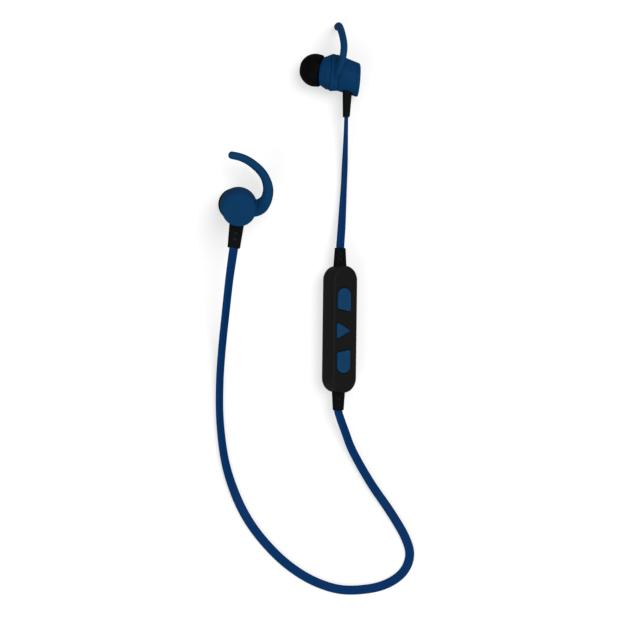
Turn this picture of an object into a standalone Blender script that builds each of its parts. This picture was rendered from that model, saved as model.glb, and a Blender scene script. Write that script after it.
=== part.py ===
"""Neckband earphones laid on a table: two in-ear buds with ear hooks, a flat cable and a control pod.

Each bud is built in its own frame: X towards the root of the left bud's hook, Y up the ear and away from
the cable, Z outwards through the end cap. Depths are measured inwards from the cap's face, along -Z.
The nozzle leans forwards and up from the bud's axis, and has a frame of its own.
The pod's frame has X across, Y along towards the right bud, and Z out of the face with the buttons.
"""

import math

import bmesh
import bpy
from mathutils import Matrix, Vector

MM = 0.001

# Clearances
FIT = 0.2 * MM
SEAT_GAP = 0.3 * MM
MOUNT_GAP = 0.1 * MM
CORD_GAP = 0.3 * MM
MERGE = 0.001 * MM

# Facets
TURNED_STEPS = 24
INNER_STEPS = 16
CORNER_STEPS = 4
HOOK_SIDES = 10

# End cap and rear housing of a bud
CAP_DIAMETER = 12.5 * MM
CAP_THICKNESS = 1.4 * MM
CAP_EDGE_RADIUS = 0.6 * MM
CAP_SPIGOT_LENGTH = 0.7 * MM
REAR_LENGTH = 6.2 * MM
REAR_END_DIAMETER = 13.1 * MM
REAR_WALL = 1.05 * MM
REAR_SLOPE = 0.27

# Front housing of a bud, with its nozzle
SLEEVE_DIAMETER = 13.3 * MM
SLEEVE_WALL = 0.7 * MM
SLEEVE_WIDTH = 2.7 * MM
FRONT_SPIGOT_LENGTH = 1.0 * MM
FRONT_WALL = 0.5 * MM
LIP_DIAMETER = 12.8 * MM
LIP_WIDTH = 0.5 * MM
FRONT_CONE_LENGTH = 2.4 * MM
FLANGE_DIAMETER = 10.4 * MM
FLANGE_CHAMFER = 0.3 * MM
NOZZLE_LEAN_ACROSS = 15.0
NOZZLE_LEAN_UP = 6.5
NOZZLE_DIAMETER = 5.6 * MM
NOZZLE_LENGTH = 5.5 * MM
NOZZLE_BORE = 3.4 * MM
BARB_HEIGHT = 0.35 * MM
BARB_LENGTH = 1.3 * MM
BARB_FROM_END = 0.6 * MM
SCREEN_WALL = 0.5 * MM
SCREEN_THICKNESS = 0.3 * MM

# Ear tip
TIP_DIAMETER = 12.2 * MM
TIP_LENGTH = 8.2 * MM
TIP_DOME_LENGTH = 6.1 * MM
TIP_WALL = 0.5 * MM
TIP_TUBE_WALL = 0.7 * MM
TIP_TUBE_SETBACK = 0.8 * MM
TIP_MOUTH_DIAMETER = 4.0 * MM
TIP_GAP = 0.4 * MM
TIP_DOME_STEPS = 6

# Ear hook. Its spine runs from a buried root to the tip: across, up, width and depth in millimetres.
HOOK_SPINE = [
    (2.9, -1.0, 6.0, 9.4),
    (6.1, -0.1, 6.4, 9.0),
    (7.8, 0.6, 5.8, 8.5),
    (8.9, 1.8, 5.0, 7.9),
    (9.8, 3.65, 4.1, 7.5),
    (10.05, 6.3, 3.7, 7.25),
    (9.55, 8.75, 3.4, 7.25),
    (8.3, 11.3, 3.1, 7.6),
    (6.45, 13.45, 3.0, 8.0),
    (4.05, 15.25, 2.9, 8.35),
    (1.35, 16.7, 2.8, 8.6),
    (-1.6, 17.6, 2.7, 8.85),
    (-4.8, 17.9, 2.6, 9.0),
]
HOOK_THICKNESS = 2.3 * MM
HOOK_SPACING = 2.2 * MM
HOOK_RELIEF = 0.55 * MM
HOOK_END_STEPS = 3

# Driver of a bud
DRIVER_LENGTH = 4.0 * MM
DRIVER_WALL = 0.45 * MM
DRIVER_FLOOR = 0.6 * MM
DRIVER_VENT = 2.4 * MM
YOKE_LENGTH = 2.2 * MM
YOKE_WALL = 0.45 * MM
YOKE_FLOOR = 0.6 * MM
MAGNET_THICKNESS = 0.7 * MM
MAGNET_INSET = 0.1 * MM
PLATE_THICKNESS = 0.5 * MM
COIL_WALL = 0.25 * MM
COIL_LENGTH = 1.2 * MM
DIAPHRAGM_THICKNESS = 0.25 * MM
DRIVER_SHOULDER = 0.4 * MM

# Strain reliefs: width lies across the flat cable, thickness through it
BUD_RELIEF_DEPTH = 4.05 * MM
BUD_RELIEF_LENGTH = 8.6 * MM
BUD_RELIEF_LEAN = 1.8
BUD_RELIEF_WIDTH = 5.4 * MM
BUD_RELIEF_END_WIDTH = 4.6 * MM
BUD_RELIEF_THICKNESS = 3.2 * MM
BUD_WINDOW_START = 3.2 * MM
POD_RELIEF_LENGTH = 6.7 * MM
POD_RELIEF_WIDTH = 4.6 * MM
POD_RELIEF_END_WIDTH = 4.0 * MM
POD_RELIEF_THICKNESS = 3.2 * MM
POD_WINDOW_START = 2.4 * MM
RELIEF_END_THICKNESS = 2.4 * MM
RELIEF_EDGE_RADIUS = 0.45 * MM
RELIEF_ROOT = 1.2 * MM
WINDOW_WIDTH = 2.2 * MM
WINDOW_HEIGHT = 0.7 * MM
WINDOW_DEPTH = 0.35 * MM
WINDOW_PITCH = 2.1 * MM

# Control pod
POD_LENGTH = 47.2 * MM
POD_WIDTH = 11.5 * MM
POD_FRONT_DEPTH = 4.0 * MM
POD_REAR_DEPTH = 4.0 * MM
POD_END_FLAT = 0.7 * MM
POD_FRONT_EDGE = 1.3 * MM
POD_REAR_EDGE = 2.0 * MM
POD_WALL = 0.9 * MM
POD_FRONT_WALL = 1.0 * MM

# Buttons, each outline given as corners with a rounding radius
BUTTON_PITCH = 11.35 * MM
BUTTON_ROW_SHIFT = -0.5 * MM
VOLUME_WIDTH = 5.8 * MM
VOLUME_LENGTH = 8.7 * MM
VOLUME_SLANT = 1.1 * MM
VOLUME_ROUND = 2.7 * MM
VOLUME_CORNER = 0.7 * MM
PLAY_WIDTH = 6.3 * MM
PLAY_HEIGHT = 6.2 * MM
PLAY_CORNER = 0.5 * MM
BUTTON_PROUD = 0.5 * MM
BUTTON_FLANGE = 0.7 * MM
BUTTON_FLANGE_THICKNESS = 0.6 * MM
BUTTON_EDGE_RADIUS = 0.25 * MM
BUTTON_TRAVEL = 0.35 * MM

# Inside of the pod
BOARD_END_GAP = 3.6 * MM
BOARD_CORNER = 2.0 * MM
BOARD_THICKNESS = 0.8 * MM
BOARD_TOP = 0.6 * MM
SWITCH_SIZE = 3.4 * MM
SWITCH_HEIGHT = 1.2 * MM
PLUNGER_DIAMETER = 1.6 * MM
PLAY_SWITCH_SHIFT = -0.9 * MM
CHIP_SIZE = 4.0 * MM
CHIP_HEIGHT = 0.9 * MM
LAMP_LENGTH = 1.6 * MM
LAMP_WIDTH = 0.8 * MM
LAMP_HEIGHT = 0.6 * MM
MICROPHONE_LENGTH = 3.0 * MM
MICROPHONE_WIDTH = 2.2 * MM
MICROPHONE_HEIGHT = 1.0 * MM
MICROPHONE_FROM_END = 6.0 * MM
MICROPHONE_INSET = 0.3 * MM
MICROPHONE_PORT = 1.0 * MM
BATTERY_LENGTH = 25.0 * MM
BATTERY_WIDTH = 7.0 * MM
BATTERY_GAP = 1.0 * MM
BATTERY_EDGE_RADIUS = 0.4 * MM
PAD_LENGTH = 20.0 * MM
PAD_WIDTH = 4.6 * MM
PAD_THICKNESS = 0.3 * MM
SOCKET_WIDTH = 7.4 * MM
SOCKET_HEIGHT = 2.4 * MM
SOCKET_DEPTH = 5.0 * MM
SOCKET_FROM_END = 7.6 * MM
SOCKET_INSET = 0.35 * MM
SOCKET_WALL = 0.35 * MM
SOCKET_BACK = 0.8 * MM
TONGUE_WIDTH = 4.2 * MM
TONGUE_THICKNESS = 0.6 * MM
TONGUE_LENGTH = 3.2 * MM

# Where the bodies lie on the table, and how they are turned
LEFT_BUD_PLACE = (-17.55 * MM, 3.1 * MM)
LEFT_BUD_OUTWARD = (0.10, -0.025, 0.995)
LEFT_BUD_UPWARD = (0.124, 0.992, 0.0)
RIGHT_BUD_PLACE = (26.14 * MM, 52.54 * MM)
RIGHT_BUD_OUTWARD = (0.995, -0.067, -0.080)
RIGHT_BUD_UPWARD = (0.062, 0.997, 0.030)
POD_PLACE = (18.65 * MM, -42.3 * MM)
POD_OUTWARD = (0.574, -0.007, 0.819)
POD_UPWARD = (0.0123, 1.0, 0.0)

# Flat cable. Route points are across, along and above the table in millimetres, then the roll in degrees
# of the cable's wide side: 0 stands it on edge and 90 lays it flat.
CORD_WIDTH = 3.4 * MM
CORD_THICKNESS = 1.5 * MM
CORD_SPACING = 6.8 * MM
CORD_LEAD = 3.0 * MM
ROUTE_SAMPLES = 24
RIGHT_BUD_ROLL = 0.0
POD_ROLL = 55.0
LEFT_BUD_ROLL = 116.0
RIGHT_ROUTE = [
    (21.05, 26.6, 3.8, 12.0),
    (20.8, 19.1, 2.4, 24.0),
    (20.45, 11.1, 2.0, 27.0),
    (20.0, 3.1, 2.4, 40.0),
    (19.6, -3.9, 4.2, 50.0),
]
LEFT_ROUTE = [
    (20.8, -80.4, 4.6, 56.0),
    (23.95, -88.5, 2.5, 58.0),
    (30.5, -100.1, 1.5, 63.0),
    (38.1, -111.3, 1.1, 74.0),
    (43.5, -120.6, 0.85, 86.0),
    (45.3, -127.4, 0.8, 90.0),
    (43.1, -133.5, 0.8, 90.0),
    (37.5, -137.9, 0.8, 90.0),
    (29.6, -140.2, 0.8, 90.0),
    (19.0, -140.4, 0.8, 90.0),
    (8.6, -137.0, 0.8, 90.0),
    (-0.9, -130.9, 0.8, 90.0),
    (-9.2, -122.8, 0.8, 90.0),
    (-15.9, -113.7, 0.9, 98.0),
    (-20.8, -103.4, 1.2, 112.0),
    (-24.3, -91.6, 1.5, 128.0),
    (-26.1, -76.9, 1.6, 138.0),
    (-26.15, -62.9, 2.6, 138.0),
    (-25.05, -49.4, 6.0, 137.0),
    (-23.2, -35.4, 12.0, 135.0),
    (-21.55, -23.4, 16.6, 131.0),
]

BLUE = (0.004, 0.040, 0.115)
BLACK = (0.010, 0.010, 0.011)
TIP_BLACK = (0.003, 0.003, 0.003)
COPPER = (0.45, 0.16, 0.06)
STEEL = (0.45, 0.45, 0.44)
BOARD_GREEN = (0.01, 0.10, 0.05)
SILVER = (0.60, 0.60, 0.58)
AMBER = (0.60, 0.50, 0.30)
WHITE = (0.80, 0.80, 0.78)


def clear_scene():
    """Remove what the scene holds."""
    for old in list(bpy.data.objects):
        bpy.data.objects.remove(old, do_unlink=True)


def collection(name):
    """A collection of the scene."""
    group = bpy.data.collections.new(name)
    bpy.context.scene.collection.children.link(group)
    return group


def material(name, colour, roughness, metallic=0.0):
    """A Principled material."""
    made = bpy.data.materials.new(name)
    made.use_nodes = True
    shader = made.node_tree.nodes["Principled BSDF"]
    shader.inputs["Base Color"].default_value = (*colour, 1.0)
    shader.inputs["Roughness"].default_value = roughness
    shader.inputs["Metallic"].default_value = metallic
    made.diffuse_color = (*colour, 1.0)
    return made


clear_scene()
PARTS = collection("neckband_earphones")
CUTTERS = collection("cutters")

HOUSING_BLUE = material("housing_blue", BLUE, 0.40)
SILICONE_BLUE = material("silicone_blue", BLUE, 0.55)
SILICONE_BLACK = material("silicone_black", TIP_BLACK, 0.45)
RELIEF_BLACK = material("relief_black", BLACK, 0.60)
POD_BLACK = material("pod_black", BLACK, 0.50)
BUTTON_BLUE = material("button_blue", BLUE, 0.50)
CABLE_BLUE = material("cable_blue", BLUE, 0.50)
SCREEN_STEEL = material("screen_steel", STEEL, 0.35, 1.0)
MAGNET_STEEL = material("magnet_steel", SILVER, 0.25, 1.0)
COIL_COPPER = material("coil_copper", COPPER, 0.35, 1.0)
FILM = material("film", AMBER, 0.30)
BOARD = material("board", BOARD_GREEN, 0.45)
CHIP_BLACK = material("chip_black", BLACK, 0.60)
CELL = material("cell", SILVER, 0.45)
FOAM = material("foam", BLACK, 0.90)
LAMP = material("lamp", WHITE, 0.30)


def add_object(name, data, finish=None, parent=None, place=(0.0, 0.0, 0.0), cutter=False):
    """An object for a sub-part, or for a cutter where asked."""
    made = bpy.data.objects.new(name, data)
    (CUTTERS if cutter else PARTS).objects.link(made)
    made.parent = parent
    made.location = place
    if cutter:
        made.hide_render = True
        made.display_type = "WIRE"
    elif data is not None:
        data.materials.clear()
        data.materials.append(finish)
    return made


def baked_mesh(source):
    """The evaluated mesh of an object, with its doubled points welded."""
    graph = bpy.context.evaluated_depsgraph_get()
    mesh = bpy.data.meshes.new_from_object(source.evaluated_get(graph))
    shape = bmesh.new()
    shape.from_mesh(mesh)
    bmesh.ops.remove_doubles(shape, verts=shape.verts, dist=MERGE)
    shape.to_mesh(mesh)
    shape.free()
    return mesh


def smooth(mesh, angle=30.0):
    """Smooth shading with sharp edges past an angle."""
    mesh.shade_smooth()
    mesh.set_sharp_from_angle(angle=math.radians(angle))


def turned(name, profile, closed=False, steps=TURNED_STEPS, **where):
    """A profile of (radius, depth) points turned about the frame's Z axis."""
    mesh = bpy.data.meshes.new(name)
    count = len(profile)
    edges = [(index, index + 1) for index in range(count - 1)]
    if closed:
        edges.append((count - 1, 0))
    mesh.from_pydata([(radius, 0.0, -depth) for radius, depth in profile], edges, [])
    made = add_object(name, mesh, **where)
    screw = made.modifiers.new("turn", "SCREW")
    screw.axis = "Z"
    screw.steps = steps
    screw.render_steps = steps
    screw.use_merge_vertices = True
    screw.merge_threshold = MERGE
    screw.use_smooth_shade = True
    return made


def ring_profile(outer, inner, start, end):
    """The closed profile of a plain ring."""
    return [(outer, start), (outer, end), (inner, end), (inner, start)]


def disc_profile(radius, start, end):
    """The open profile of a plain disc."""
    return [(0.0, start), (radius, start), (radius, end), (0.0, end)]


def box(name, size, place, edge=0.0, **where):
    """A box, with rounded edges where asked."""
    mesh = bpy.data.meshes.new(name)
    shape = bmesh.new()
    bmesh.ops.create_cube(shape, size=1.0, matrix=Matrix.Diagonal((*size, 1.0)))
    shape.to_mesh(mesh)
    shape.free()
    made = add_object(name, mesh, place=place, **where)
    if edge:
        round_edges(made, edge, 2)
    return made


def cylinder(name, diameter, length, place, axis="Z", steps=INNER_STEPS, **where):
    """A cylinder along an axis of its frame."""
    mesh = bpy.data.meshes.new(name)
    shape = bmesh.new()
    turn = Matrix.Rotation(math.pi / 2.0, 4, "Y") if axis == "X" else Matrix.Identity(4)
    radius = diameter / 2.0
    bmesh.ops.create_cone(shape, cap_ends=True, segments=steps, radius1=radius, radius2=radius,
                          depth=length, matrix=turn)
    shape.to_mesh(mesh)
    shape.free()
    return add_object(name, mesh, place=place, **where)


def round_edges(target, width, segments, limit=60.0):
    """A Bevel on the edges that turn by more than a limit."""
    bevel = target.modifiers.new("round", "BEVEL")
    bevel.width = width
    bevel.segments = segments
    bevel.limit_method = "ANGLE"
    bevel.angle_limit = math.radians(limit)


def combine(target, tool, operation):
    """A Boolean of a target with a cutter."""
    step = target.modifiers.new(operation.lower(), "BOOLEAN")
    step.operation = operation
    step.object = tool
    step.solver = "EXACT"


def rounded_outline(corners, grow=0.0):
    """Points round a convex outline of (across, along, radius) corners, grown outwards by a distance."""
    points = []
    count = len(corners)
    for index in range(count):
        before = Vector(corners[index - 1][:2])
        here = Vector(corners[index][:2])
        after = Vector(corners[(index + 1) % count][:2])
        way_in = (here - before).normalized()
        way_out = (after - here).normalized()
        normal_in = Vector((way_in.y, -way_in.x))
        normal_out = Vector((way_out.y, -way_out.x))
        mitre = (normal_in + normal_out) / (1.0 + normal_in.dot(normal_out))
        radius = corners[index][2]
        centre = here - mitre * radius
        start = math.atan2(normal_in.y, normal_in.x)
        turn = math.acos(max(-1.0, min(1.0, normal_in.dot(normal_out))))
        for step in range(CORNER_STEPS + 1):
            angle = start + turn * step / CORNER_STEPS
            reach = radius + grow
            points.append((centre.x + reach * math.cos(angle), centre.y + reach * math.sin(angle)))
    return points


def plate(name, outline, bottom, top, place=(0.0, 0.0), **where):
    """A flat outline made solid between two heights."""
    curve = bpy.data.curves.new(name, "CURVE")
    curve.dimensions = "2D"
    curve.fill_mode = "BOTH"
    curve.extrude = (top - bottom) / 2.0
    spline = curve.splines.new("POLY")
    spline.points.add(len(outline) - 1)
    for point, (across, along) in zip(spline.points, outline):
        point.co = (across, along, 0.0, 1.0)
    spline.use_cyclic_u = True
    guide = bpy.data.objects.new(name + "_outline", curve)
    CUTTERS.objects.link(guide)
    mesh = baked_mesh(guide)
    bpy.data.objects.remove(guide, do_unlink=True)
    return add_object(name, mesh, place=(*place, (top + bottom) / 2.0), **where)


def loft(name, sections, **where):
    """A closed solid through sections of equally many points."""
    shape = bmesh.new()
    rings = [[shape.verts.new(point) for point in section] for section in sections]
    sides = len(rings[0])
    for ring, after in zip(rings, rings[1:]):
        for side in range(sides):
            other = (side + 1) % sides
            shape.faces.new((ring[side], ring[other], after[other], after[side]))
    shape.faces.new(reversed(rings[0]))
    shape.faces.new(rings[-1])
    bmesh.ops.recalc_face_normals(shape, faces=shape.faces)
    mesh = bpy.data.meshes.new(name)
    shape.to_mesh(mesh)
    shape.free()
    return add_object(name, mesh, **where)


def frame(name, place, outward, upward):
    """An empty whose Z axis points outward and whose Y axis points upward."""
    z_axis = Vector(outward).normalized()
    y_axis = Vector(upward)
    y_axis = (y_axis - z_axis * y_axis.dot(z_axis)).normalized()
    x_axis = y_axis.cross(z_axis)
    made = bpy.data.objects.new(name, None)
    PARTS.objects.link(made)
    made.empty_display_size = CAP_DIAMETER
    rotation = Matrix((x_axis, y_axis, z_axis)).transposed()
    made.rotation_euler = rotation.to_euler()
    made.location = (*place, 0.0)
    return made


def set_on_table(base):
    """Raise a frame until its lowest part touches the table."""
    bpy.context.view_layer.update()
    graph = bpy.context.evaluated_depsgraph_get()
    lowest = 0.0
    for piece in base.children_recursive:
        if piece.hide_render or piece.type == "EMPTY":
            continue
        mesh = piece.evaluated_get(graph).to_mesh()
        heights = [(piece.matrix_world @ point.co).z for point in mesh.vertices]
        lowest = min(lowest, min(heights))
    base.location.z -= lowest
    bpy.context.view_layer.update()


# Depths along a bud, from the cap's face inwards
CAP_RADIUS = CAP_DIAMETER / 2.0
REAR_START = CAP_THICKNESS + FIT
REAR_END = REAR_START + REAR_LENGTH
REAR_BORE_RADIUS = CAP_RADIUS - REAR_WALL
SLEEVE_START = REAR_END + SEAT_GAP
SLEEVE_END = SLEEVE_START + SLEEVE_WIDTH
SLEEVE_BORE_RADIUS = SLEEVE_DIAMETER / 2.0 - SLEEVE_WALL
SEAT_RADIUS = SLEEVE_BORE_RADIUS - FIT
LIP_START = SLEEVE_END + SEAT_GAP
CONE_START = LIP_START + LIP_WIDTH
FRONT_FACE = CONE_START + FRONT_CONE_LENGTH
NOZZLE_END = FRONT_FACE + NOZZLE_LENGTH
FRONT_SPIGOT_START = REAR_END - FRONT_SPIGOT_LENGTH
FRONT_SPIGOT_RADIUS = REAR_BORE_RADIUS - FIT - FRONT_SPIGOT_LENGTH * REAR_SLOPE
CAVITY_RADIUS = FRONT_SPIGOT_RADIUS - FRONT_WALL
CAVITY_END = LIP_START + DRIVER_SHOULDER
NOZZLE_RADIUS = NOZZLE_DIAMETER / 2.0
BARB_RADIUS = NOZZLE_RADIUS + BARB_HEIGHT
SCREEN_SEAT_RADIUS = NOZZLE_RADIUS - SCREEN_WALL
SCREEN_SEAT = NOZZLE_END - SCREEN_THICKNESS - 2.0 * MOUNT_GAP
TIP_START = FRONT_FACE + TIP_GAP


def rear_offset(depth):
    """How far the sloping rear housing has dropped below the front housing's axis at a depth."""
    return -REAR_SLOPE * max(0.0, REAR_END - depth)


def slope_rear(piece):
    """Bake a turned piece and slope it, keeping its end faces square to the front housing's axis."""
    mesh = baked_mesh(piece)
    piece.modifiers.clear()
    for point in mesh.vertices:
        point.co.y += rear_offset(-point.co.z)
    smooth(mesh)
    piece.data = mesh


def end_cap(side, base):
    """The round disc that closes the bud, with a spigot in the rear housing."""
    spigot_radius = REAR_BORE_RADIUS - FIT
    spigot_end = CAP_THICKNESS + CAP_SPIGOT_LENGTH
    flat_radius = CAP_RADIUS - CAP_EDGE_RADIUS
    profile = [(0.0, 0.0)]
    for step in range(CORNER_STEPS + 1):
        angle = math.pi / 2.0 * step / CORNER_STEPS
        profile.append((flat_radius + CAP_EDGE_RADIUS * math.sin(angle),
                        CAP_EDGE_RADIUS * (1.0 - math.cos(angle))))
    profile += [(CAP_RADIUS, CAP_THICKNESS), (spigot_radius, CAP_THICKNESS),
                (spigot_radius, spigot_end), (0.0, spigot_end)]
    slope_rear(turned(side + "_end_cap", profile, finish=HOUSING_BLUE, parent=base))


def rear_housing(side, base):
    """The sloping barrel, with a hole for the strain relief in its underside."""
    profile = [(CAP_RADIUS, REAR_START), (REAR_END_DIAMETER / 2.0, REAR_END),
               (REAR_BORE_RADIUS, REAR_END), (REAR_BORE_RADIUS, REAR_START)]
    barrel = turned(side + "_rear_housing", profile, closed=True, finish=HOUSING_BLUE, parent=base)
    slope_rear(barrel)
    hole = (BUD_RELIEF_WIDTH + 2.0 * FIT, REAR_END_DIAMETER / 2.0, BUD_RELIEF_THICKNESS + 2.0 * FIT)
    middle = rear_offset(BUD_RELIEF_DEPTH) - REAR_BORE_RADIUS
    cutter = box(side + "_relief_hole", hole, (0.0, middle, -BUD_RELIEF_DEPTH), parent=base, cutter=True)
    combine(barrel, cutter, "DIFFERENCE")


def nozzle_lean(hand):
    """The turn that leans the nozzle, about the middle of the front housing's lip."""
    across = Matrix.Rotation(math.radians(hand * NOZZLE_LEAN_ACROSS), 4, "Y")
    up = Matrix.Rotation(math.radians(NOZZLE_LEAN_UP), 4, "X")
    pivot = Matrix.Translation((0.0, 0.0, -CONE_START))
    return pivot @ across @ up @ pivot.inverted()


def nozzle_frame(side, hand, base):
    """An empty whose Z axis is the leaning nozzle's axis."""
    made = bpy.data.objects.new(side + "_nozzle_frame", None)
    PARTS.objects.link(made)
    made.empty_display_size = NOZZLE_LENGTH
    made.parent = base
    made.matrix_local = nozzle_lean(hand)
    return made


def front_housing(side, hand, base):
    """The sleeve's seat, the front cone and the leaning nozzle, bored through for the sound."""
    barb_end = NOZZLE_END - BARB_FROM_END
    barb_top = barb_end - BARB_LENGTH / 2.0
    flange_radius = FLANGE_DIAMETER / 2.0
    bore_radius = NOZZLE_BORE / 2.0
    outside = [
        (FRONT_SPIGOT_RADIUS, FRONT_SPIGOT_START),
        (FRONT_SPIGOT_RADIUS, SLEEVE_START),
        (SEAT_RADIUS, SLEEVE_START),
        (SEAT_RADIUS, LIP_START),
        (LIP_DIAMETER / 2.0, LIP_START),
        (LIP_DIAMETER / 2.0, CONE_START),
        (flange_radius, FRONT_FACE - FLANGE_CHAMFER),
        (flange_radius - FLANGE_CHAMFER, FRONT_FACE),
        (NOZZLE_RADIUS, FRONT_FACE),
        (NOZZLE_RADIUS, barb_end - BARB_LENGTH),
        (BARB_RADIUS, barb_top),
        (NOZZLE_RADIUS, barb_end),
        (NOZZLE_RADIUS, NOZZLE_END),
    ]
    inside = [
        (SCREEN_SEAT_RADIUS, NOZZLE_END),
        (SCREEN_SEAT_RADIUS, SCREEN_SEAT),
        (bore_radius, SCREEN_SEAT),
        (bore_radius, FRONT_FACE),
        (CAVITY_RADIUS - DRIVER_WALL, CAVITY_END),
        (CAVITY_RADIUS, CAVITY_END),
        (CAVITY_RADIUS, FRONT_SPIGOT_START),
    ]
    piece = turned(side + "_front_housing", outside + inside, closed=True, finish=HOUSING_BLUE, parent=base)
    mesh = baked_mesh(piece)
    piece.modifiers.clear()
    lean = nozzle_lean(hand)
    for point in mesh.vertices:
        if -point.co.z > CONE_START + MERGE:
            point.co = lean @ point.co
    smooth(mesh)
    piece.data = mesh


def nozzle_screen(side, base):
    """The mesh disc in the nozzle's mouth."""
    start = SCREEN_SEAT + MOUNT_GAP
    profile = disc_profile(SCREEN_SEAT_RADIUS - FIT, start, start + SCREEN_THICKNESS)
    turned(side + "_nozzle_screen", profile, steps=INNER_STEPS, finish=SCREEN_STEEL, parent=base)


def ear_tip(side, base):
    """The silicone dome and its inner tube on the nozzle."""
    tip_end = TIP_START + TIP_LENGTH
    dome_start = tip_end - TIP_DOME_LENGTH
    outer = TIP_DIAMETER / 2.0
    inner = outer - TIP_WALL
    mouth = TIP_MOUTH_DIAMETER / 2.0
    bore = BARB_RADIUS + FIT
    tube = bore + TIP_TUBE_WALL
    inner_dome = TIP_DOME_LENGTH - TIP_WALL
    last_outer = math.acos((mouth + TIP_WALL) / outer)
    last_inner = math.acos(tube / inner)
    profile = [(outer - TIP_WALL / 2.0, TIP_START)]
    for step in range(TIP_DOME_STEPS + 1):
        angle = last_outer * step / TIP_DOME_STEPS
        profile.append((outer * math.cos(angle), dome_start + TIP_DOME_LENGTH * math.sin(angle)))
    profile += [(mouth, dome_start + TIP_DOME_LENGTH * math.sin(last_outer) - TIP_WALL / 2.0),
                (mouth, NOZZLE_END + SEAT_GAP),
                (bore, NOZZLE_END + SEAT_GAP),
                (bore, TIP_START + TIP_TUBE_SETBACK),
                (tube, TIP_START + TIP_TUBE_SETBACK)]
    for step in range(TIP_DOME_STEPS, -1, -2):
        angle = last_inner * step / TIP_DOME_STEPS
        profile.append((inner * math.cos(angle), dome_start + inner_dome * math.sin(angle)))
    profile.append((inner - TIP_WALL / 2.0, TIP_START))
    turned(side + "_ear_tip", profile, closed=True, finish=SILICONE_BLACK, parent=base)


def smooth_route(stations, spacing):
    """Evenly spaced points on a smooth curve through stations of four numbers, without the two outer ones."""
    dense = []
    for index in range(len(stations) - 3):
        before, start, end, after = (Vector(row) for row in stations[index:index + 4])
        for step in range(ROUTE_SAMPLES):
            share = step / ROUTE_SAMPLES
            dense.append(0.5 * (2.0 * start + (end - before) * share
                                + (2.0 * before - 5.0 * start + 4.0 * end - after) * share ** 2
                                + (3.0 * start - before - 3.0 * end + after) * share ** 3))
    dense.append(Vector(stations[-2]))
    travelled = [0.0]
    for start, end in zip(dense, dense[1:]):
        travelled.append(travelled[-1] + (end.xyz - start.xyz).length)
    count = max(2, round(travelled[-1] / spacing))
    points = []
    place = 0
    for step in range(count + 1):
        target = travelled[-1] * step / count
        while place < len(dense) - 2 and travelled[place + 1] < target:
            place += 1
        share = (target - travelled[place]) / (travelled[place + 1] - travelled[place])
        points.append(dense[place].lerp(dense[place + 1], share))
    return points


def hook_sections(hand):
    """Oval sections along the hook, from its buried root to its rounded end."""
    rows = [Vector((across, up, -depth, width)) * MM for across, up, width, depth in HOOK_SPINE]
    rows = [2.0 * rows[0] - rows[1], *rows, 2.0 * rows[-1] - rows[-2]]
    spine = [(row, 1.0) for row in smooth_route(rows, HOOK_SPACING)]
    tip = spine[-1][0]
    onward = (tip - spine[-2][0]).xyz.normalized() * tip.w / 2.0
    for step in range(1, HOOK_END_STEPS + 1):
        share = step / (HOOK_END_STEPS + 0.5)
        ahead = tip + Vector((*(onward * share), 0.0))
        spine.append((ahead, math.sqrt(1.0 - share ** 2)))
    sections = []
    for index, (row, shrink) in enumerate(spine):
        before = spine[max(index - 1, 0)][0]
        after = spine[min(index + 1, len(spine) - 1)][0]
        outwards = Vector((after.y - before.y, before.x - after.x)).normalized()
        points = []
        for side in range(HOOK_SIDES):
            turn = 2.0 * math.pi * side / HOOK_SIDES
            reach = shrink * row.w / 2.0 * math.cos(turn)
            rise = shrink * HOOK_THICKNESS / 2.0 * math.sin(turn)
            points.append((hand * (row.x + reach * outwards.x), row.y + reach * outwards.y, row.z + rise))
        sections.append(points)
    return sections


def ear_hook(side, hand, base):
    """The sleeve that turns on its seat, and the curved hook that grows out of it."""
    hook = loft(side + "_ear_hook", hook_sections(hand), finish=SILICONE_BLUE, parent=base)
    sleeve_radius = SLEEVE_DIAMETER / 2.0
    sleeve = turned(side + "_sleeve", disc_profile(sleeve_radius, SLEEVE_START, SLEEVE_END),
                    parent=base, cutter=True)
    combine(hook, sleeve, "UNION")
    clear_radius = REAR_END_DIAMETER / 2.0 + HOOK_RELIEF
    past_sleeve = SLEEVE_END + SLEEVE_WIDTH
    hollow_profile = [(0.0, REAR_START), (clear_radius, REAR_START),
                      (clear_radius, SLEEVE_START), (SLEEVE_BORE_RADIUS, SLEEVE_START),
                      (SLEEVE_BORE_RADIUS, past_sleeve), (0.0, past_sleeve)]
    hollow = turned(side + "_sleeve_hollow", hollow_profile, parent=base, cutter=True)
    combine(hook, hollow, "DIFFERENCE")


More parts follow.
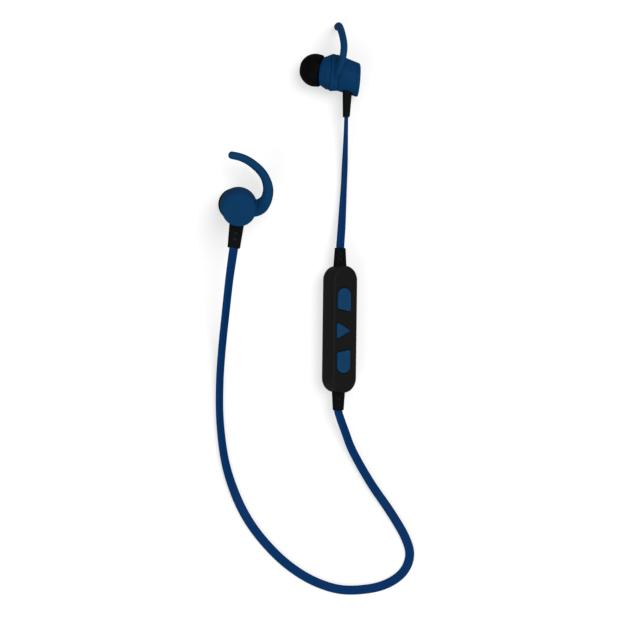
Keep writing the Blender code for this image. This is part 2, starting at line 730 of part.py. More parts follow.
def driver(side, base):
    """The moving-coil driver in the front housing, from its frame inwards."""
    frame_radius = CAVITY_RADIUS - FIT
    frame_inside = frame_radius - DRIVER_WALL
    front = CAVITY_END - MOUNT_GAP
    rear = front - DRIVER_LENGTH
    floor = rear + DRIVER_FLOOR
    vent = DRIVER_VENT / 2.0
    frame_profile = [(frame_radius, rear), (frame_radius, front), (frame_inside, front),
                     (frame_inside, floor), (vent, floor), (vent, rear)]
    turned(side + "_driver_frame", frame_profile, closed=True, steps=INNER_STEPS,
           finish=CHIP_BLACK, parent=base)

    yoke_radius = frame_inside - FIT
    yoke_inside = yoke_radius - YOKE_WALL
    yoke_start = floor + MOUNT_GAP
    yoke_end = yoke_start + YOKE_LENGTH
    yoke_floor = yoke_start + YOKE_FLOOR
    yoke_profile = [(0.0, yoke_start), (yoke_radius, yoke_start), (yoke_radius, yoke_end),
                    (yoke_inside, yoke_end), (yoke_inside, yoke_floor), (0.0, yoke_floor)]
    turned(side + "_driver_yoke", yoke_profile, steps=INNER_STEPS, finish=SCREEN_STEEL, parent=base)

    coil_radius = yoke_inside - FIT
    coil_inside = coil_radius - COIL_WALL
    plate_radius = coil_inside - FIT
    magnet_start = yoke_floor + MOUNT_GAP
    plate_start = magnet_start + MAGNET_THICKNESS + MOUNT_GAP
    plate_end = plate_start + PLATE_THICKNESS
    turned(side + "_driver_magnet",
           disc_profile(plate_radius - MAGNET_INSET, magnet_start, magnet_start + MAGNET_THICKNESS),
           steps=INNER_STEPS, finish=MAGNET_STEEL, parent=base)
    turned(side + "_driver_plate", disc_profile(plate_radius, plate_start, plate_end),
           steps=INNER_STEPS, finish=SCREEN_STEEL, parent=base)

    coil_end = yoke_end + SEAT_GAP
    turned(side + "_voice_coil", ring_profile(coil_radius, coil_inside, coil_end - COIL_LENGTH, coil_end),
           closed=True, steps=INNER_STEPS, finish=COIL_COPPER, parent=base)
    film_start = coil_end + MOUNT_GAP
    turned(side + "_diaphragm",
           disc_profile(frame_inside - FIT, film_start, film_start + DIAPHRAGM_THICKNESS),
           steps=INNER_STEPS, finish=FILM, parent=base)


def strain_relief(name, base, root, turn, length, width, end_width, thickness, window_start):
    """A tapered boot with two windows in each wide face, running along its own Y axis from its root."""
    full = RELIEF_ROOT + length
    mesh = bpy.data.meshes.new(name)
    shape = bmesh.new()
    bmesh.ops.create_cube(shape, size=1.0)
    for point in shape.verts:
        at_end = point.co.y > 0.0
        point.co.x *= end_width if at_end else width
        point.co.z *= RELIEF_END_THICKNESS if at_end else thickness
        point.co.y = full if at_end else 0.0
    shape.to_mesh(mesh)
    shape.free()
    made = add_object(name, mesh, finish=RELIEF_BLACK, parent=base, place=root)
    made.rotation_euler.z = turn
    round_edges(made, RELIEF_EDGE_RADIUS, 2)
    for index in range(2):
        along = RELIEF_ROOT + window_start + WINDOW_PITCH * index
        half = (thickness + (RELIEF_END_THICKNESS - thickness) * along / full) / 2.0
        for face in (-1.0, 1.0):
            window = box(f"{name}_window_{index}_{'rear' if face < 0.0 else 'front'}",
                         (WINDOW_WIDTH, WINDOW_HEIGHT, 2.0 * WINDOW_DEPTH), (0.0, along, face * half),
                         parent=made, cutter=True)
            combine(made, window, "DIFFERENCE")
    return made


def bud(side, hand, place, outward, upward):
    """One bud on its frame, whose Z axis is the front housing's axis; returns its strain relief."""
    base = frame(side + "_bud_frame", place, outward, upward)
    end_cap(side, base)
    rear_housing(side, base)
    front_housing(side, hand, base)
    nozzle = nozzle_frame(side, hand, base)
    nozzle_screen(side, nozzle)
    ear_tip(side, nozzle)
    ear_hook(side, hand, base)
    driver(side, base)
    wall_inside = rear_offset(BUD_RELIEF_DEPTH) - REAR_BORE_RADIUS
    relief = strain_relief(side + "_strain_relief", base, (0.0, wall_inside, -BUD_RELIEF_DEPTH), math.pi,
                           BUD_RELIEF_LENGTH, BUD_RELIEF_WIDTH, BUD_RELIEF_END_WIDTH, BUD_RELIEF_THICKNESS,
                           BUD_WINDOW_START)
    relief.rotation_euler.x = math.radians(BUD_RELIEF_LEAN)
    set_on_table(base)
    return relief


# Heights in the pod, from the plane where its covers part, and places along it, from its middle
COVER_GAP = FIT / 2.0
FRONT_INSIDE = POD_FRONT_DEPTH - POD_FRONT_WALL
REAR_INSIDE = POD_REAR_DEPTH - POD_WALL
INSIDE_WIDTH = POD_WIDTH - 2.0 * POD_WALL
BUTTON_ROW_ACROSS = max(PLAY_WIDTH, VOLUME_WIDTH) / 2.0 + BUTTON_FLANGE + FIT - INSIDE_WIDTH / 2.0
FLANGE_TOP = FRONT_INSIDE - MOUNT_GAP
FLANGE_BOTTOM = FLANGE_TOP - BUTTON_FLANGE_THICKNESS
BOARD_BOTTOM = BOARD_TOP - BOARD_THICKNESS
BOARD_WIDTH = INSIDE_WIDTH - 2.0 * FIT
POD_END = POD_LENGTH / 2.0
POD_END_RADIUS = (POD_WIDTH - POD_END_FLAT) / 2.0
POD_RELIEF_ROOT = POD_END - RELIEF_ROOT
BOARD_END = POD_END - BOARD_END_GAP
MICROPHONE_ALONG = POD_END - MICROPHONE_FROM_END
SOCKET_ALONG = SOCKET_FROM_END - POD_END
BATTERY_ALONG = SOCKET_ALONG + SOCKET_WIDTH / 2.0 + BATTERY_GAP + BATTERY_LENGTH / 2.0

HALF_VOLUME = VOLUME_WIDTH / 2.0
VOLUME_UP_CORNERS = [
    (-HALF_VOLUME, VOLUME_SLANT - VOLUME_LENGTH / 2.0, VOLUME_CORNER),
    (HALF_VOLUME, -VOLUME_LENGTH / 2.0, VOLUME_CORNER),
    (HALF_VOLUME, VOLUME_LENGTH / 2.0, VOLUME_ROUND),
    (-HALF_VOLUME, VOLUME_LENGTH / 2.0, VOLUME_ROUND),
]
VOLUME_DOWN_CORNERS = [(across, -along, radius) for across, along, radius in reversed(VOLUME_UP_CORNERS)]
PLAY_CORNERS = [
    (-PLAY_WIDTH / 2.0, -PLAY_HEIGHT / 2.0, PLAY_CORNER),
    (PLAY_WIDTH / 2.0, 0.0, PLAY_CORNER),
    (-PLAY_WIDTH / 2.0, PLAY_HEIGHT / 2.0, PLAY_CORNER),
]
BUTTONS = [
    ("volume_up", VOLUME_UP_CORNERS, BUTTON_ROW_SHIFT + BUTTON_PITCH, 0.0),
    ("play", PLAY_CORNERS, BUTTON_ROW_SHIFT, PLAY_SWITCH_SHIFT),
    ("volume_down", VOLUME_DOWN_CORNERS, BUTTON_ROW_SHIFT - BUTTON_PITCH, 0.0),
]


def pod_outline(inset=0.0):
    """The pod's outline seen from the front, drawn in by a distance."""
    half_width = POD_WIDTH / 2.0
    corners = [(-half_width, -POD_END, POD_END_RADIUS), (half_width, -POD_END, POD_END_RADIUS),
               (half_width, POD_END, POD_END_RADIUS), (-half_width, POD_END, POD_END_RADIUS)]
    return rounded_outline(corners, -inset)


def relief_holes(base):
    """A cutter at each end of the pod, for the strain reliefs."""
    holes = []
    size = (POD_RELIEF_WIDTH + 2.0 * FIT, 4.0 * RELIEF_ROOT, POD_RELIEF_THICKNESS + 2.0 * FIT)
    for name, end in (("upper_relief_hole", POD_END), ("lower_relief_hole", -POD_END)):
        holes.append(box(name, size, (0.0, end, 0.0), parent=base, cutter=True))
    return holes


def pod_covers(base):
    """The two halves of the pod's case."""
    beyond = POD_WIDTH
    block = (2.0 * beyond, 2.0 * POD_LENGTH, 2.0 * beyond)
    holes = relief_holes(base)

    front = plate("pod_front_cover", pod_outline(), -POD_FRONT_DEPTH, POD_FRONT_DEPTH,
                  finish=POD_BLACK, parent=base)
    round_edges(front, POD_FRONT_EDGE, 3)
    below = box("below_front", block, (0.0, 0.0, COVER_GAP - beyond), parent=base, cutter=True)
    front_hollow = plate("front_hollow", pod_outline(POD_WALL), -FRONT_INSIDE, FRONT_INSIDE,
                         parent=base, cutter=True)
    port_length = 4.0 * POD_WALL
    port = cylinder("microphone_port", MICROPHONE_PORT, port_length,
                    (POD_WIDTH / 2.0, MICROPHONE_ALONG, BOARD_TOP + MICROPHONE_HEIGHT), axis="X",
                    parent=base, cutter=True)
    for cutter in [below, front_hollow, port] + holes:
        combine(front, cutter, "DIFFERENCE")
    for name, corners, along, _ in BUTTONS:
        opening = plate(name + "_opening", rounded_outline(corners, FIT), 0.0, 2.0 * POD_FRONT_DEPTH,
                        place=(BUTTON_ROW_ACROSS, along), parent=base, cutter=True)
        combine(front, opening, "DIFFERENCE")

    rear = plate("pod_rear_cover", pod_outline(), -POD_REAR_DEPTH, POD_REAR_DEPTH,
                 finish=POD_BLACK, parent=base)
    round_edges(rear, POD_REAR_EDGE, 4)
    above = box("above_rear", block, (0.0, 0.0, beyond - COVER_GAP), parent=base, cutter=True)
    rear_hollow = plate("rear_hollow", pod_outline(POD_WALL), -REAR_INSIDE, REAR_INSIDE,
                        parent=base, cutter=True)
    round_edges(rear_hollow, POD_REAR_EDGE - POD_WALL, 4)
    mouth_size = (POD_WIDTH / 2.0, SOCKET_WIDTH + 2.0 * FIT, SOCKET_HEIGHT + 2.0 * FIT)
    mouth_height = BOARD_BOTTOM - MOUNT_GAP - SOCKET_HEIGHT / 2.0
    mouth = box("socket_mouth", mouth_size, (POD_WIDTH / 2.0, SOCKET_ALONG, mouth_height),
                parent=base, cutter=True)
    for cutter in [above, rear_hollow, mouth] + holes:
        combine(rear, cutter, "DIFFERENCE")


def button(base, name, corners, along, switch_shift):
    """A button held behind the front cover by its flange, with its plunger and switch."""
    top = POD_FRONT_DEPTH + BUTTON_PROUD
    flange_middle = (FLANGE_TOP + FLANGE_BOTTOM) / 2.0
    cap = plate(name + "_button", rounded_outline(corners), flange_middle, top,
                place=(BUTTON_ROW_ACROSS, along), finish=BUTTON_BLUE, parent=base)
    round_edges(cap, BUTTON_EDGE_RADIUS, 2)
    flange = plate(name + "_flange", rounded_outline(corners, BUTTON_FLANGE), FLANGE_BOTTOM, FLANGE_TOP,
                   place=(BUTTON_ROW_ACROSS, along), parent=base, cutter=True)
    combine(cap, flange, "UNION")

    plunger_top = FLANGE_BOTTOM - MOUNT_GAP
    plunger_bottom = BOARD_TOP + MOUNT_GAP + BUTTON_TRAVEL
    switch_across = BUTTON_ROW_ACROSS + switch_shift
    cylinder(name + "_plunger", PLUNGER_DIAMETER, plunger_top - plunger_bottom,
             (switch_across, along, (plunger_top + plunger_bottom) / 2.0), finish=LAMP, parent=base)

    body_middle = BOARD_TOP + MOUNT_GAP + SWITCH_HEIGHT / 2.0
    switch_place = (switch_across, along, body_middle)
    body = box(name + "_switch", (SWITCH_SIZE, SWITCH_SIZE, SWITCH_HEIGHT), switch_place,
               finish=SCREEN_STEEL, parent=base)
    well = cylinder(name + "_switch_well", PLUNGER_DIAMETER + 2.0 * FIT, 2.0 * SWITCH_HEIGHT, switch_place,
                    parent=base, cutter=True)
    combine(body, well, "DIFFERENCE")


def on_board(name, size, across, along, finish, base):
    """A component that stands on the board's front."""
    height = BOARD_TOP + MOUNT_GAP + size[2] / 2.0
    box(name, size, (across, along, height), finish=finish, parent=base)


def charging_socket(base):
    """The socket under the board, open towards the pod's side, with its tongue."""
    outer_end = POD_WIDTH / 2.0 - SOCKET_INSET
    height = BOARD_BOTTOM - MOUNT_GAP - SOCKET_HEIGHT / 2.0
    shell = box("charging_socket", (SOCKET_DEPTH, SOCKET_WIDTH, SOCKET_HEIGHT),
                (outer_end - SOCKET_DEPTH / 2.0, SOCKET_ALONG, height), finish=SCREEN_STEEL, parent=base)
    pocket_depth = SOCKET_DEPTH - SOCKET_BACK
    pocket_size = (2.0 * pocket_depth, SOCKET_WIDTH - 2.0 * SOCKET_WALL, SOCKET_HEIGHT - 2.0 * SOCKET_WALL)
    pocket = box("socket_pocket", pocket_size, (outer_end, SOCKET_ALONG, height), parent=base, cutter=True)
    combine(shell, pocket, "DIFFERENCE")
    tongue_start = outer_end - SOCKET_DEPTH + SOCKET_BACK / 2.0
    tongue_size = (TONGUE_LENGTH + SOCKET_BACK / 2.0, TONGUE_WIDTH, TONGUE_THICKNESS)
    tongue = box("socket_tongue", tongue_size, (tongue_start + tongue_size[0] / 2.0, SOCKET_ALONG, height),
                 parent=base, cutter=True)
    combine(shell, tongue, "UNION")


def pod_inside(base):
    """The board and what it carries, and the battery on its pad in the rear cover."""
    half_width = BOARD_WIDTH / 2.0
    corners = [(-half_width, -BOARD_END, BOARD_CORNER), (half_width, -BOARD_END, BOARD_CORNER),
               (half_width, BOARD_END, BOARD_CORNER), (-half_width, BOARD_END, BOARD_CORNER)]
    plate("circuit_board", rounded_outline(corners), BOARD_BOTTOM, BOARD_TOP, finish=BOARD, parent=base)
    between_low = BUTTON_ROW_SHIFT - BUTTON_PITCH / 2.0
    between_high = BUTTON_ROW_SHIFT + BUTTON_PITCH / 2.0
    on_board("radio_chip", (CHIP_SIZE, CHIP_SIZE, CHIP_HEIGHT), 0.0, between_low, CHIP_BLACK, base)
    on_board("status_lamp", (LAMP_LENGTH, LAMP_WIDTH, LAMP_HEIGHT), 0.0, between_high, LAMP, base)
    microphone_across = half_width - MICROPHONE_LENGTH / 2.0 - MICROPHONE_INSET
    on_board("microphone", (MICROPHONE_LENGTH, MICROPHONE_WIDTH, MICROPHONE_HEIGHT),
             microphone_across, MICROPHONE_ALONG, SCREEN_STEEL, base)

    pad_bottom = MOUNT_GAP - REAR_INSIDE
    pad_top = pad_bottom + PAD_THICKNESS
    box("battery_pad", (PAD_WIDTH, PAD_LENGTH, PAD_THICKNESS),
        (0.0, BATTERY_ALONG, (pad_bottom + pad_top) / 2.0), finish=FOAM, parent=base)
    battery_bottom = pad_top + MOUNT_GAP
    battery_top = BOARD_BOTTOM - MOUNT_GAP
    box("battery", (BATTERY_WIDTH, BATTERY_LENGTH, battery_top - battery_bottom),
        (0.0, BATTERY_ALONG, (battery_bottom + battery_top) / 2.0), edge=BATTERY_EDGE_RADIUS,
        finish=CELL, parent=base)
    charging_socket(base)


def control_pod():
    """The pod on its frame; returns its two strain reliefs."""
    base = frame("pod_frame", POD_PLACE, POD_OUTWARD, POD_UPWARD)
    pod_covers(base)
    for name, corners, along, switch_shift in BUTTONS:
        button(base, name, corners, along, switch_shift)
    pod_inside(base)
    reliefs = []
    for name, end, turn in (("upper", POD_RELIEF_ROOT, 0.0), ("lower", -POD_RELIEF_ROOT, math.pi)):
        reliefs.append(strain_relief(f"pod_{name}_strain_relief", base, (0.0, end, 0.0), turn,
                                     POD_RELIEF_LENGTH, POD_RELIEF_WIDTH, POD_RELIEF_END_WIDTH,
                                     POD_RELIEF_THICKNESS, POD_WINDOW_START))
    set_on_table(base)
    return reliefs


def cord_end(relief, length):
    """Where a cable meets a strain relief, and the point it passes next, straight out of it."""
    end = RELIEF_ROOT + length + CORD_GAP
    return [relief.matrix_world @ Vector((0.0, end + lead, 0.0)) for lead in (0.0, CORD_LEAD)]


def flat_cable(name, start, start_roll, route, end, end_roll):
    """A flat cable from one strain relief along a route to another."""
    stations = [(*point, math.radians(start_roll)) for point in start]
    stations += [(x * MM, y * MM, z * MM, math.radians(roll)) for x, y, z, roll in route]
    stations += [(*point, math.radians(end_roll)) for point in reversed(end)]
    curve = bpy.data.curves.new(name, "CURVE")
    curve.dimensions = "3D"
    curve.twist_mode = "Z_UP"
    curve.fill_mode = "FULL"
    curve.extrude = (CORD_WIDTH - CORD_THICKNESS) / 2.0
    curve.bevel_depth = CORD_THICKNESS / 2.0
    curve.bevel_resolution = 1
    curve.use_fill_caps = True
    points = [Vector(stations[0]), *smooth_route(stations, CORD_SPACING), Vector(stations[-1])]
    spline = curve.splines.new("POLY")
    spline.points.add(len(points) - 1)
    for point, station in zip(spline.points, points):
        point.co = (*station.xyz, 1.0)
        point.tilt = station.w
    add_object(name, curve, finish=CABLE_BLUE)


left_relief = bud("left", 1.0, LEFT_BUD_PLACE, LEFT_BUD_OUTWARD, LEFT_BUD_UPWARD)
right_relief = bud("right", -1.0, RIGHT_BUD_PLACE, RIGHT_BUD_OUTWARD, RIGHT_BUD_UPWARD)
upper_relief, lower_relief = control_pod()
flat_cable("right_cable", cord_end(right_relief, BUD_RELIEF_LENGTH), RIGHT_BUD_ROLL, RIGHT_ROUTE,
           cord_end(upper_relief, POD_RELIEF_LENGTH), POD_ROLL)
flat_cable("left_cable", cord_end(lower_relief, POD_RELIEF_LENGTH), POD_ROLL, LEFT_ROUTE,
           cord_end(left_relief, BUD_RELIEF_LENGTH), LEFT_BUD_ROLL)
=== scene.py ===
"""Looks of a pair of neckband earphones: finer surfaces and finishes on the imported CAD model, a floor,
light and the camera.

Each bud, each nozzle and the pod has a frame, as in the CAD model. A bud's Z axis points out through its
end cap, and depths run inwards along -Z. The pod's Y axis runs along it, and its Z axis points out of its
buttons.
"""

import math

import bmesh
import bpy
from mathutils import Matrix, Vector


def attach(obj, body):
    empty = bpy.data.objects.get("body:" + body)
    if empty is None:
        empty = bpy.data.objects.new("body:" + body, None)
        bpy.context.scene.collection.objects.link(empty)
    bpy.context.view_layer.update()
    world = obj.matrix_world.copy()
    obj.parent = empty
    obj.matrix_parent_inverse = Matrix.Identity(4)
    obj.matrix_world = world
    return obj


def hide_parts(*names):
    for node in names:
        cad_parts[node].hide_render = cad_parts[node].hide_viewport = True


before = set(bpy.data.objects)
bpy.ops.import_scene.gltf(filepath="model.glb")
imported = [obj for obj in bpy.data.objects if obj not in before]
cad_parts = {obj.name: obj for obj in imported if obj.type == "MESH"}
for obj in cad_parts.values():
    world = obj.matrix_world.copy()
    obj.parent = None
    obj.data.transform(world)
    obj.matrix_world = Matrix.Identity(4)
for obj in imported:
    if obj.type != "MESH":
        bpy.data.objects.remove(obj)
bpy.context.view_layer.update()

MM = 0.001
ROOT = "earphones"

# Fineness of the surfaces
SPIN = 96
ARC = 6
CORNER_STEPS = 14
HOOK_SIDES = 32
HOOK_STEP = 0.6 * MM
HOOK_VOXEL = 0.15 * MM
CABLE_STEP = 1.0 * MM
CABLE_SIDES = 9
ROUTE_SAMPLES = 24

# Tolerances: a radius on the axis, points that are one, a corner that is straight, an edge's most used share
ON_AXIS = 1e-7
WELD = 1e-8
STRAIGHT = 0.01
EDGE_SHARE = 0.49

# Clearances of the CAD model
FIT = 0.2 * MM
SEAT_GAP = 0.3 * MM
MOUNT_GAP = 0.1 * MM

# Roundings of the small edges, from crisp to soft
HAIR_ROUND = 0.05 * MM
WIRE_ROUND = 0.06 * MM
SEAM_ROUND = 0.08 * MM
FINE_ROUND = 0.1 * MM
MOUTH_ROUND = 0.12 * MM
RIM_ROUND = 0.15 * MM
SOFT_ROUND = 0.2 * MM
LIP_ROUND = 0.3 * MM
FLANGE_ROUND = 0.35 * MM

# Angles in degrees past which an edge stays sharp
SHARP_ANGLE = 32.0
SOFT_SHARP_ANGLE = 45.0
ROLLED_SHARP_ANGLE = 50.0

# Bud: end cap and rear housing
CAP_RADIUS = 6.25 * MM
CAP_THICKNESS = 1.4 * MM
CAP_EDGE = 0.7 * MM
CAP_SPIGOT = 0.7 * MM
REAR_START = 1.43 * MM
REAR_END = 7.8 * MM
REAR_RADIUS = 6.55 * MM
REAR_BORE = 5.2 * MM
REAR_SLOPE = 0.27

# Bud: front housing, sleeve and nozzle
SLEEVE_START = 7.9 * MM
SLEEVE_END = 11.02 * MM
SLEEVE_RADIUS = 6.65 * MM
SLEEVE_BORE = 5.95 * MM
SEAT_RADIUS = 5.75 * MM
LIP_START = 11.1 * MM
LIP_RADIUS = 6.4 * MM
CONE_START = 11.6 * MM
FRONT_FACE = 14.0 * MM
FLANGE_RADIUS = 5.2 * MM
SEAT_START = 8.1 * MM
SPIGOT_START = 6.8 * MM
SPIGOT_RADIUS = 4.73 * MM
CAVITY_RADIUS = 4.23 * MM
CAVITY_END = 11.5 * MM
CAVITY_SHOULDER = 3.78 * MM
NOZZLE_LEAN_ACROSS = 15.0
NOZZLE_LEAN_UP = 6.5
LEAN_BLEND = 0.1 * MM
NOZZLE_RADIUS = 2.8 * MM
NOZZLE_END = 19.5 * MM
NOZZLE_BORE = 1.7 * MM
BARB_RADIUS = 3.15 * MM
BARB_START = 17.6 * MM
BARB_END = 18.9 * MM
SCREEN_SEAT = 19.0 * MM
SCREEN_SEAT_RADIUS = 2.3 * MM
SCREEN_RADIUS = 2.1 * MM
SCREEN_THICKNESS = 0.3 * MM
SCREEN_PITCH = 0.3 * MM
SCREEN_WIRE = 0.1 * MM
SCREEN_RIM = 0.4 * MM
SCREEN_RIM_STEPS = 48
SCREEN_MARGIN = 0.05 * MM

# Ear tip
TIP_START = 14.4 * MM
TIP_LENGTH = 8.2 * MM
TIP_DOME = 6.1 * MM
TIP_RADIUS = 6.1 * MM
TIP_WALL = 0.5 * MM
TIP_TUBE_WALL = 0.7 * MM
TIP_TUBE_SETBACK = 0.8 * MM
TIP_MOUTH = 2.0 * MM
TIP_MOUTH_FLARE = 0.12 * MM
TIP_MOUTH_DROP = 0.02 * MM
TIP_STEPS = 28

# Ear hook: across, up, width and depth in millimetres, from the buried root to the tip
HOOK_SPINE = [
    (2.9, -1.0, 6.0, 9.4),
    (6.1, -0.1, 6.4, 9.0),
    (7.8, 0.6, 5.8, 8.5),
    (8.9, 1.8, 5.0, 7.9),
    (9.8, 3.65, 4.1, 7.5),
    (10.05, 6.3, 3.7, 7.25),
    (9.55, 8.75, 3.4, 7.25),
    (8.3, 11.3, 3.1, 7.6),
    (6.45, 13.45, 3.0, 8.0),
    (4.05, 15.25, 2.9, 8.35),
    (1.35, 16.7, 2.8, 8.6),
    (-1.6, 17.6, 2.7, 8.85),
    (-4.8, 17.9, 2.6, 9.0),
]
HOOK_THICKNESS = 2.3 * MM
HOOK_RELIEF = 0.55 * MM
HOOK_SWELL = 0.14 * MM
SLEEVE_RIM = 6.9 * MM
SLEEVE_RIM_DEPTH = 10.2 * MM
SLEEVE_RIM_RISE = 1.4 * MM
HOLLOW_REACH = 3.0 * MM
HOOK_END_STEPS = 8
HOOK_END_SPAN = 8.5
HOOK_SOFTENING = 0.5
HOOK_SOFT_PASSES = 12

# Strain reliefs
RELIEF_ROOT = 1.2 * MM
RELIEF_EDGE = 0.45 * MM
RELIEF_EXTRA_ROUND = 0.25 * MM
RELIEF_END_ROUND = 0.35 * MM
RELIEF_END_STEPS = 6
RELIEF_CORNER_STEPS = 8
RELIEF_HOLE = (-2.0 * MM, 6.0 * MM)
POD_RELIEF_HOLE = (-2.4 * MM, 2.4 * MM)
RELIEF_END_THICKNESS = 2.4 * MM
RELIEF_THICKNESS = 3.2 * MM
BUD_RELIEF = (8.6 * MM, 5.4 * MM, 4.6 * MM)
BUD_RELIEF_DEPTH = 4.05 * MM
BUD_RELIEF_LEAN = 1.8
POD_RELIEF = (6.7 * MM, 4.6 * MM, 4.0 * MM)
WINDOW_SIZE = (2.2 * MM, 0.7 * MM)
BUD_WINDOW_START = 3.2 * MM
POD_WINDOW_START = 2.4 * MM
WINDOW_PITCH = 2.1 * MM
WINDOW_COUNT = 2
WINDOW_ROUND = 0.2 * MM
WINDOW_FLARE = 0.3 * MM
WINDOW_FLARE_START = 1.35 * MM
WINDOW_FLARE_END = 1.65 * MM
WINDOW_BITE = 0.1 * MM
CORE_SIZE = (2.7 * MM, 1.5 * MM)
CORE_FLAT = 0.02 * MM

# Control pod
POD_END = 23.6 * MM
POD_HALF_WIDTH = 5.75 * MM
POD_DEPTH = 4.0 * MM
POD_END_RADIUS = 5.4 * MM
POD_FRONT_EDGE = 1.3 * MM
POD_REAR_EDGE = 2.0 * MM
POD_WALL = 0.9 * MM
POD_FRONT_INSIDE = 3.0 * MM
POD_REAR_INSIDE = 3.1 * MM
PARTING = 0.03 * MM
PARTING_CHAMFER = 0.06 * MM
REAR_EDGE_STEPS = 12
MICROPHONE_PLACE = (17.6 * MM, 1.6 * MM)
MICROPHONE_PORT = 0.5 * MM
PORT_REACH = 2.0 * MM
PORT_STEPS = 32
SOCKET_ALONG = -16.0 * MM
SOCKET_HEIGHT = -1.5 * MM
SOCKET_SIZE = (7.4 * MM, 2.4 * MM)
SOCKET_FRONT = 5.4 * MM
SOCKET_DEPTH = 5.0 * MM
SOCKET_WALL = 0.3 * MM
SOCKET_BACK = 0.8 * MM
SOCKET_CORNER = 0.75 * MM
MOUTH_REACH = 2.0 * MM
POCKET_REACH = 1.0 * MM
TONGUE_SIZE = (4.2 * MM, 0.6 * MM)
TONGUE_LENGTH = 3.6 * MM
TONGUE_ROUND = 0.12 * MM
TONGUE_BURIED = 0.1 * MM
CONTACT_COUNT = 5
CONTACT_PITCH = 0.75 * MM
CONTACT_SIZE = (0.4 * MM, 0.06 * MM)
CONTACT_SETBACK = 0.4 * MM
CONTACT_EDGE = 0.02 * MM

# Buttons: corners are across, along and radius
BUTTON_PITCH = 11.35 * MM
BUTTON_ROW = -0.5 * MM
BUTTON_ACROSS = -0.8 * MM
BUTTON_TOP = 4.5 * MM
BUTTON_EDGE = 0.3 * MM
BUTTON_EDGE_STEPS = 6
OPENING_CHAMFER = 0.15 * MM
BUTTON_FLANGE = 0.7 * MM
FLANGE_TOP = 2.9 * MM
FLANGE_BOTTOM = 2.3 * MM
VOLUME_UP_CORNERS = [
    (-2.9 * MM, -3.25 * MM, 0.7 * MM),
    (2.9 * MM, -4.35 * MM, 0.7 * MM),
    (2.9 * MM, 4.35 * MM, 2.7 * MM),
    (-2.9 * MM, 4.35 * MM, 2.7 * MM),
]
VOLUME_DOWN_CORNERS = [(across, -along, radius) for across, along, radius in reversed(VOLUME_UP_CORNERS)]
PLAY_CORNERS = [
    (-3.15 * MM, -3.1 * MM, 0.5 * MM),
    (3.15 * MM, 0.0, 0.5 * MM),
    (-3.15 * MM, 3.1 * MM, 0.5 * MM),
]
MARK_SIZE = (0.3 * MM, 1.7 * MM)
MARK_DEPTH = 0.12 * MM
MARK_ROUND = 0.14 * MM

# Flat cable: x, y, z in metres, then the roll of its wide side in degrees, where 90 lies flat
CABLE_WIDTH = 3.4 * MM
CABLE_THICKNESS = 1.5 * MM
CABLE_TUCK = 0.9 * MM
CABLE_FLAT = 0.01 * MM
RIGHT_ROUTE = [
    (0.02129, 0.03653, 0.00606, 0.0),
    (0.02118, 0.03353, 0.00596, 0.0),
    (0.02105, 0.0266, 0.0038, 12.0),
    (0.0208, 0.0191, 0.0024, 24.0),
    (0.02045, 0.0111, 0.0020, 27.0),
    (0.0200, 0.0031, 0.0024, 40.0),
    (0.0196, -0.0039, 0.0042, 50.0),
    (0.01906, -0.00870, 0.00653, 55.0),
    (0.01903, -0.01170, 0.00653, 55.0),
]
LEFT_ROUTE = [
    (0.01827, -0.07290, 0.00654, 55.0),
    (0.01824, -0.07590, 0.00654, 55.0),
    (0.0208, -0.0804, 0.0046, 56.0),
    (0.02395, -0.0885, 0.0025, 58.0),
    (0.0305, -0.1001, 0.0015, 63.0),
    (0.0381, -0.1113, 0.0011, 74.0),
    (0.0435, -0.1206, 0.00085, 86.0),
    (0.0453, -0.1274, 0.0008, 90.0),
    (0.0431, -0.1335, 0.0008, 90.0),
    (0.0375, -0.1379, 0.0008, 90.0),
    (0.0296, -0.1402, 0.0008, 90.0),
    (0.0190, -0.1404, 0.0008, 90.0),
    (0.0086, -0.1370, 0.0008, 90.0),
    (-0.0009, -0.1309, 0.0008, 90.0),
    (-0.0092, -0.1228, 0.0008, 90.0),
    (-0.0159, -0.1137, 0.0009, 98.0),
    (-0.0208, -0.1034, 0.0012, 112.0),
    (-0.0243, -0.0916, 0.0015, 128.0),
    (-0.0261, -0.0769, 0.0016, 138.0),
    (-0.02615, -0.0629, 0.0026, 138.0),
    (-0.02505, -0.0494, 0.0060, 137.0),
    (-0.0232, -0.0354, 0.0120, 135.0),
    (-0.02155, -0.0234, 0.0166, 131.0),
    (-0.02033, -0.01596, 0.01832, 116.0),
    (-0.01997, -0.01298, 0.01826, 116.0),
]

# Where the bodies lie in metres, and how they are turned
LEFT_BUD_PLACE = (-0.01755, 0.0031, 0.02217)
LEFT_BUD_OUTWARD = (0.10, -0.025, 0.995)
LEFT_BUD_UPWARD = (0.124, 0.992, 0.0)
RIGHT_BUD_PLACE = (0.02614, 0.05254, 0.00624)
RIGHT_BUD_OUTWARD = (0.995, -0.067, -0.080)
RIGHT_BUD_UPWARD = (0.062, 0.997, 0.030)
POD_PLACE = (0.01865, -0.0423, 0.00653)
POD_OUTWARD = (0.574, -0.007, 0.819)
POD_UPWARD = (0.0123, 1.0, 0.0)

# Stage
FLOOR_DROP = 0.12 * MM
FLOOR_COLOUR = 0.70
FLOOR_SEEN_COLOUR = 0.56
FLOOR_LIFT = 0.52
ROOM_LIGHT = 0.35
KEY_POWER = 9.5
FILL_POWER = 5.5
KEY_PLACE = (0.48, 0.22, 1.18)
KEY_SIZE = 0.8
FILL_PLACE = (-0.55, -0.80, 0.75)
FILL_SIZE = 0.9
LAMP_AIM = (0.01, -0.04, 0.0)
FLOOR_REACH = 4.0
FLOOR_ROUGHNESS = 0.9
CAMERA_PLACE = (0.0115, -0.0389, 0.5283)
CAMERA_LENS = 78.75
CAMERA_SENSOR = 36.0


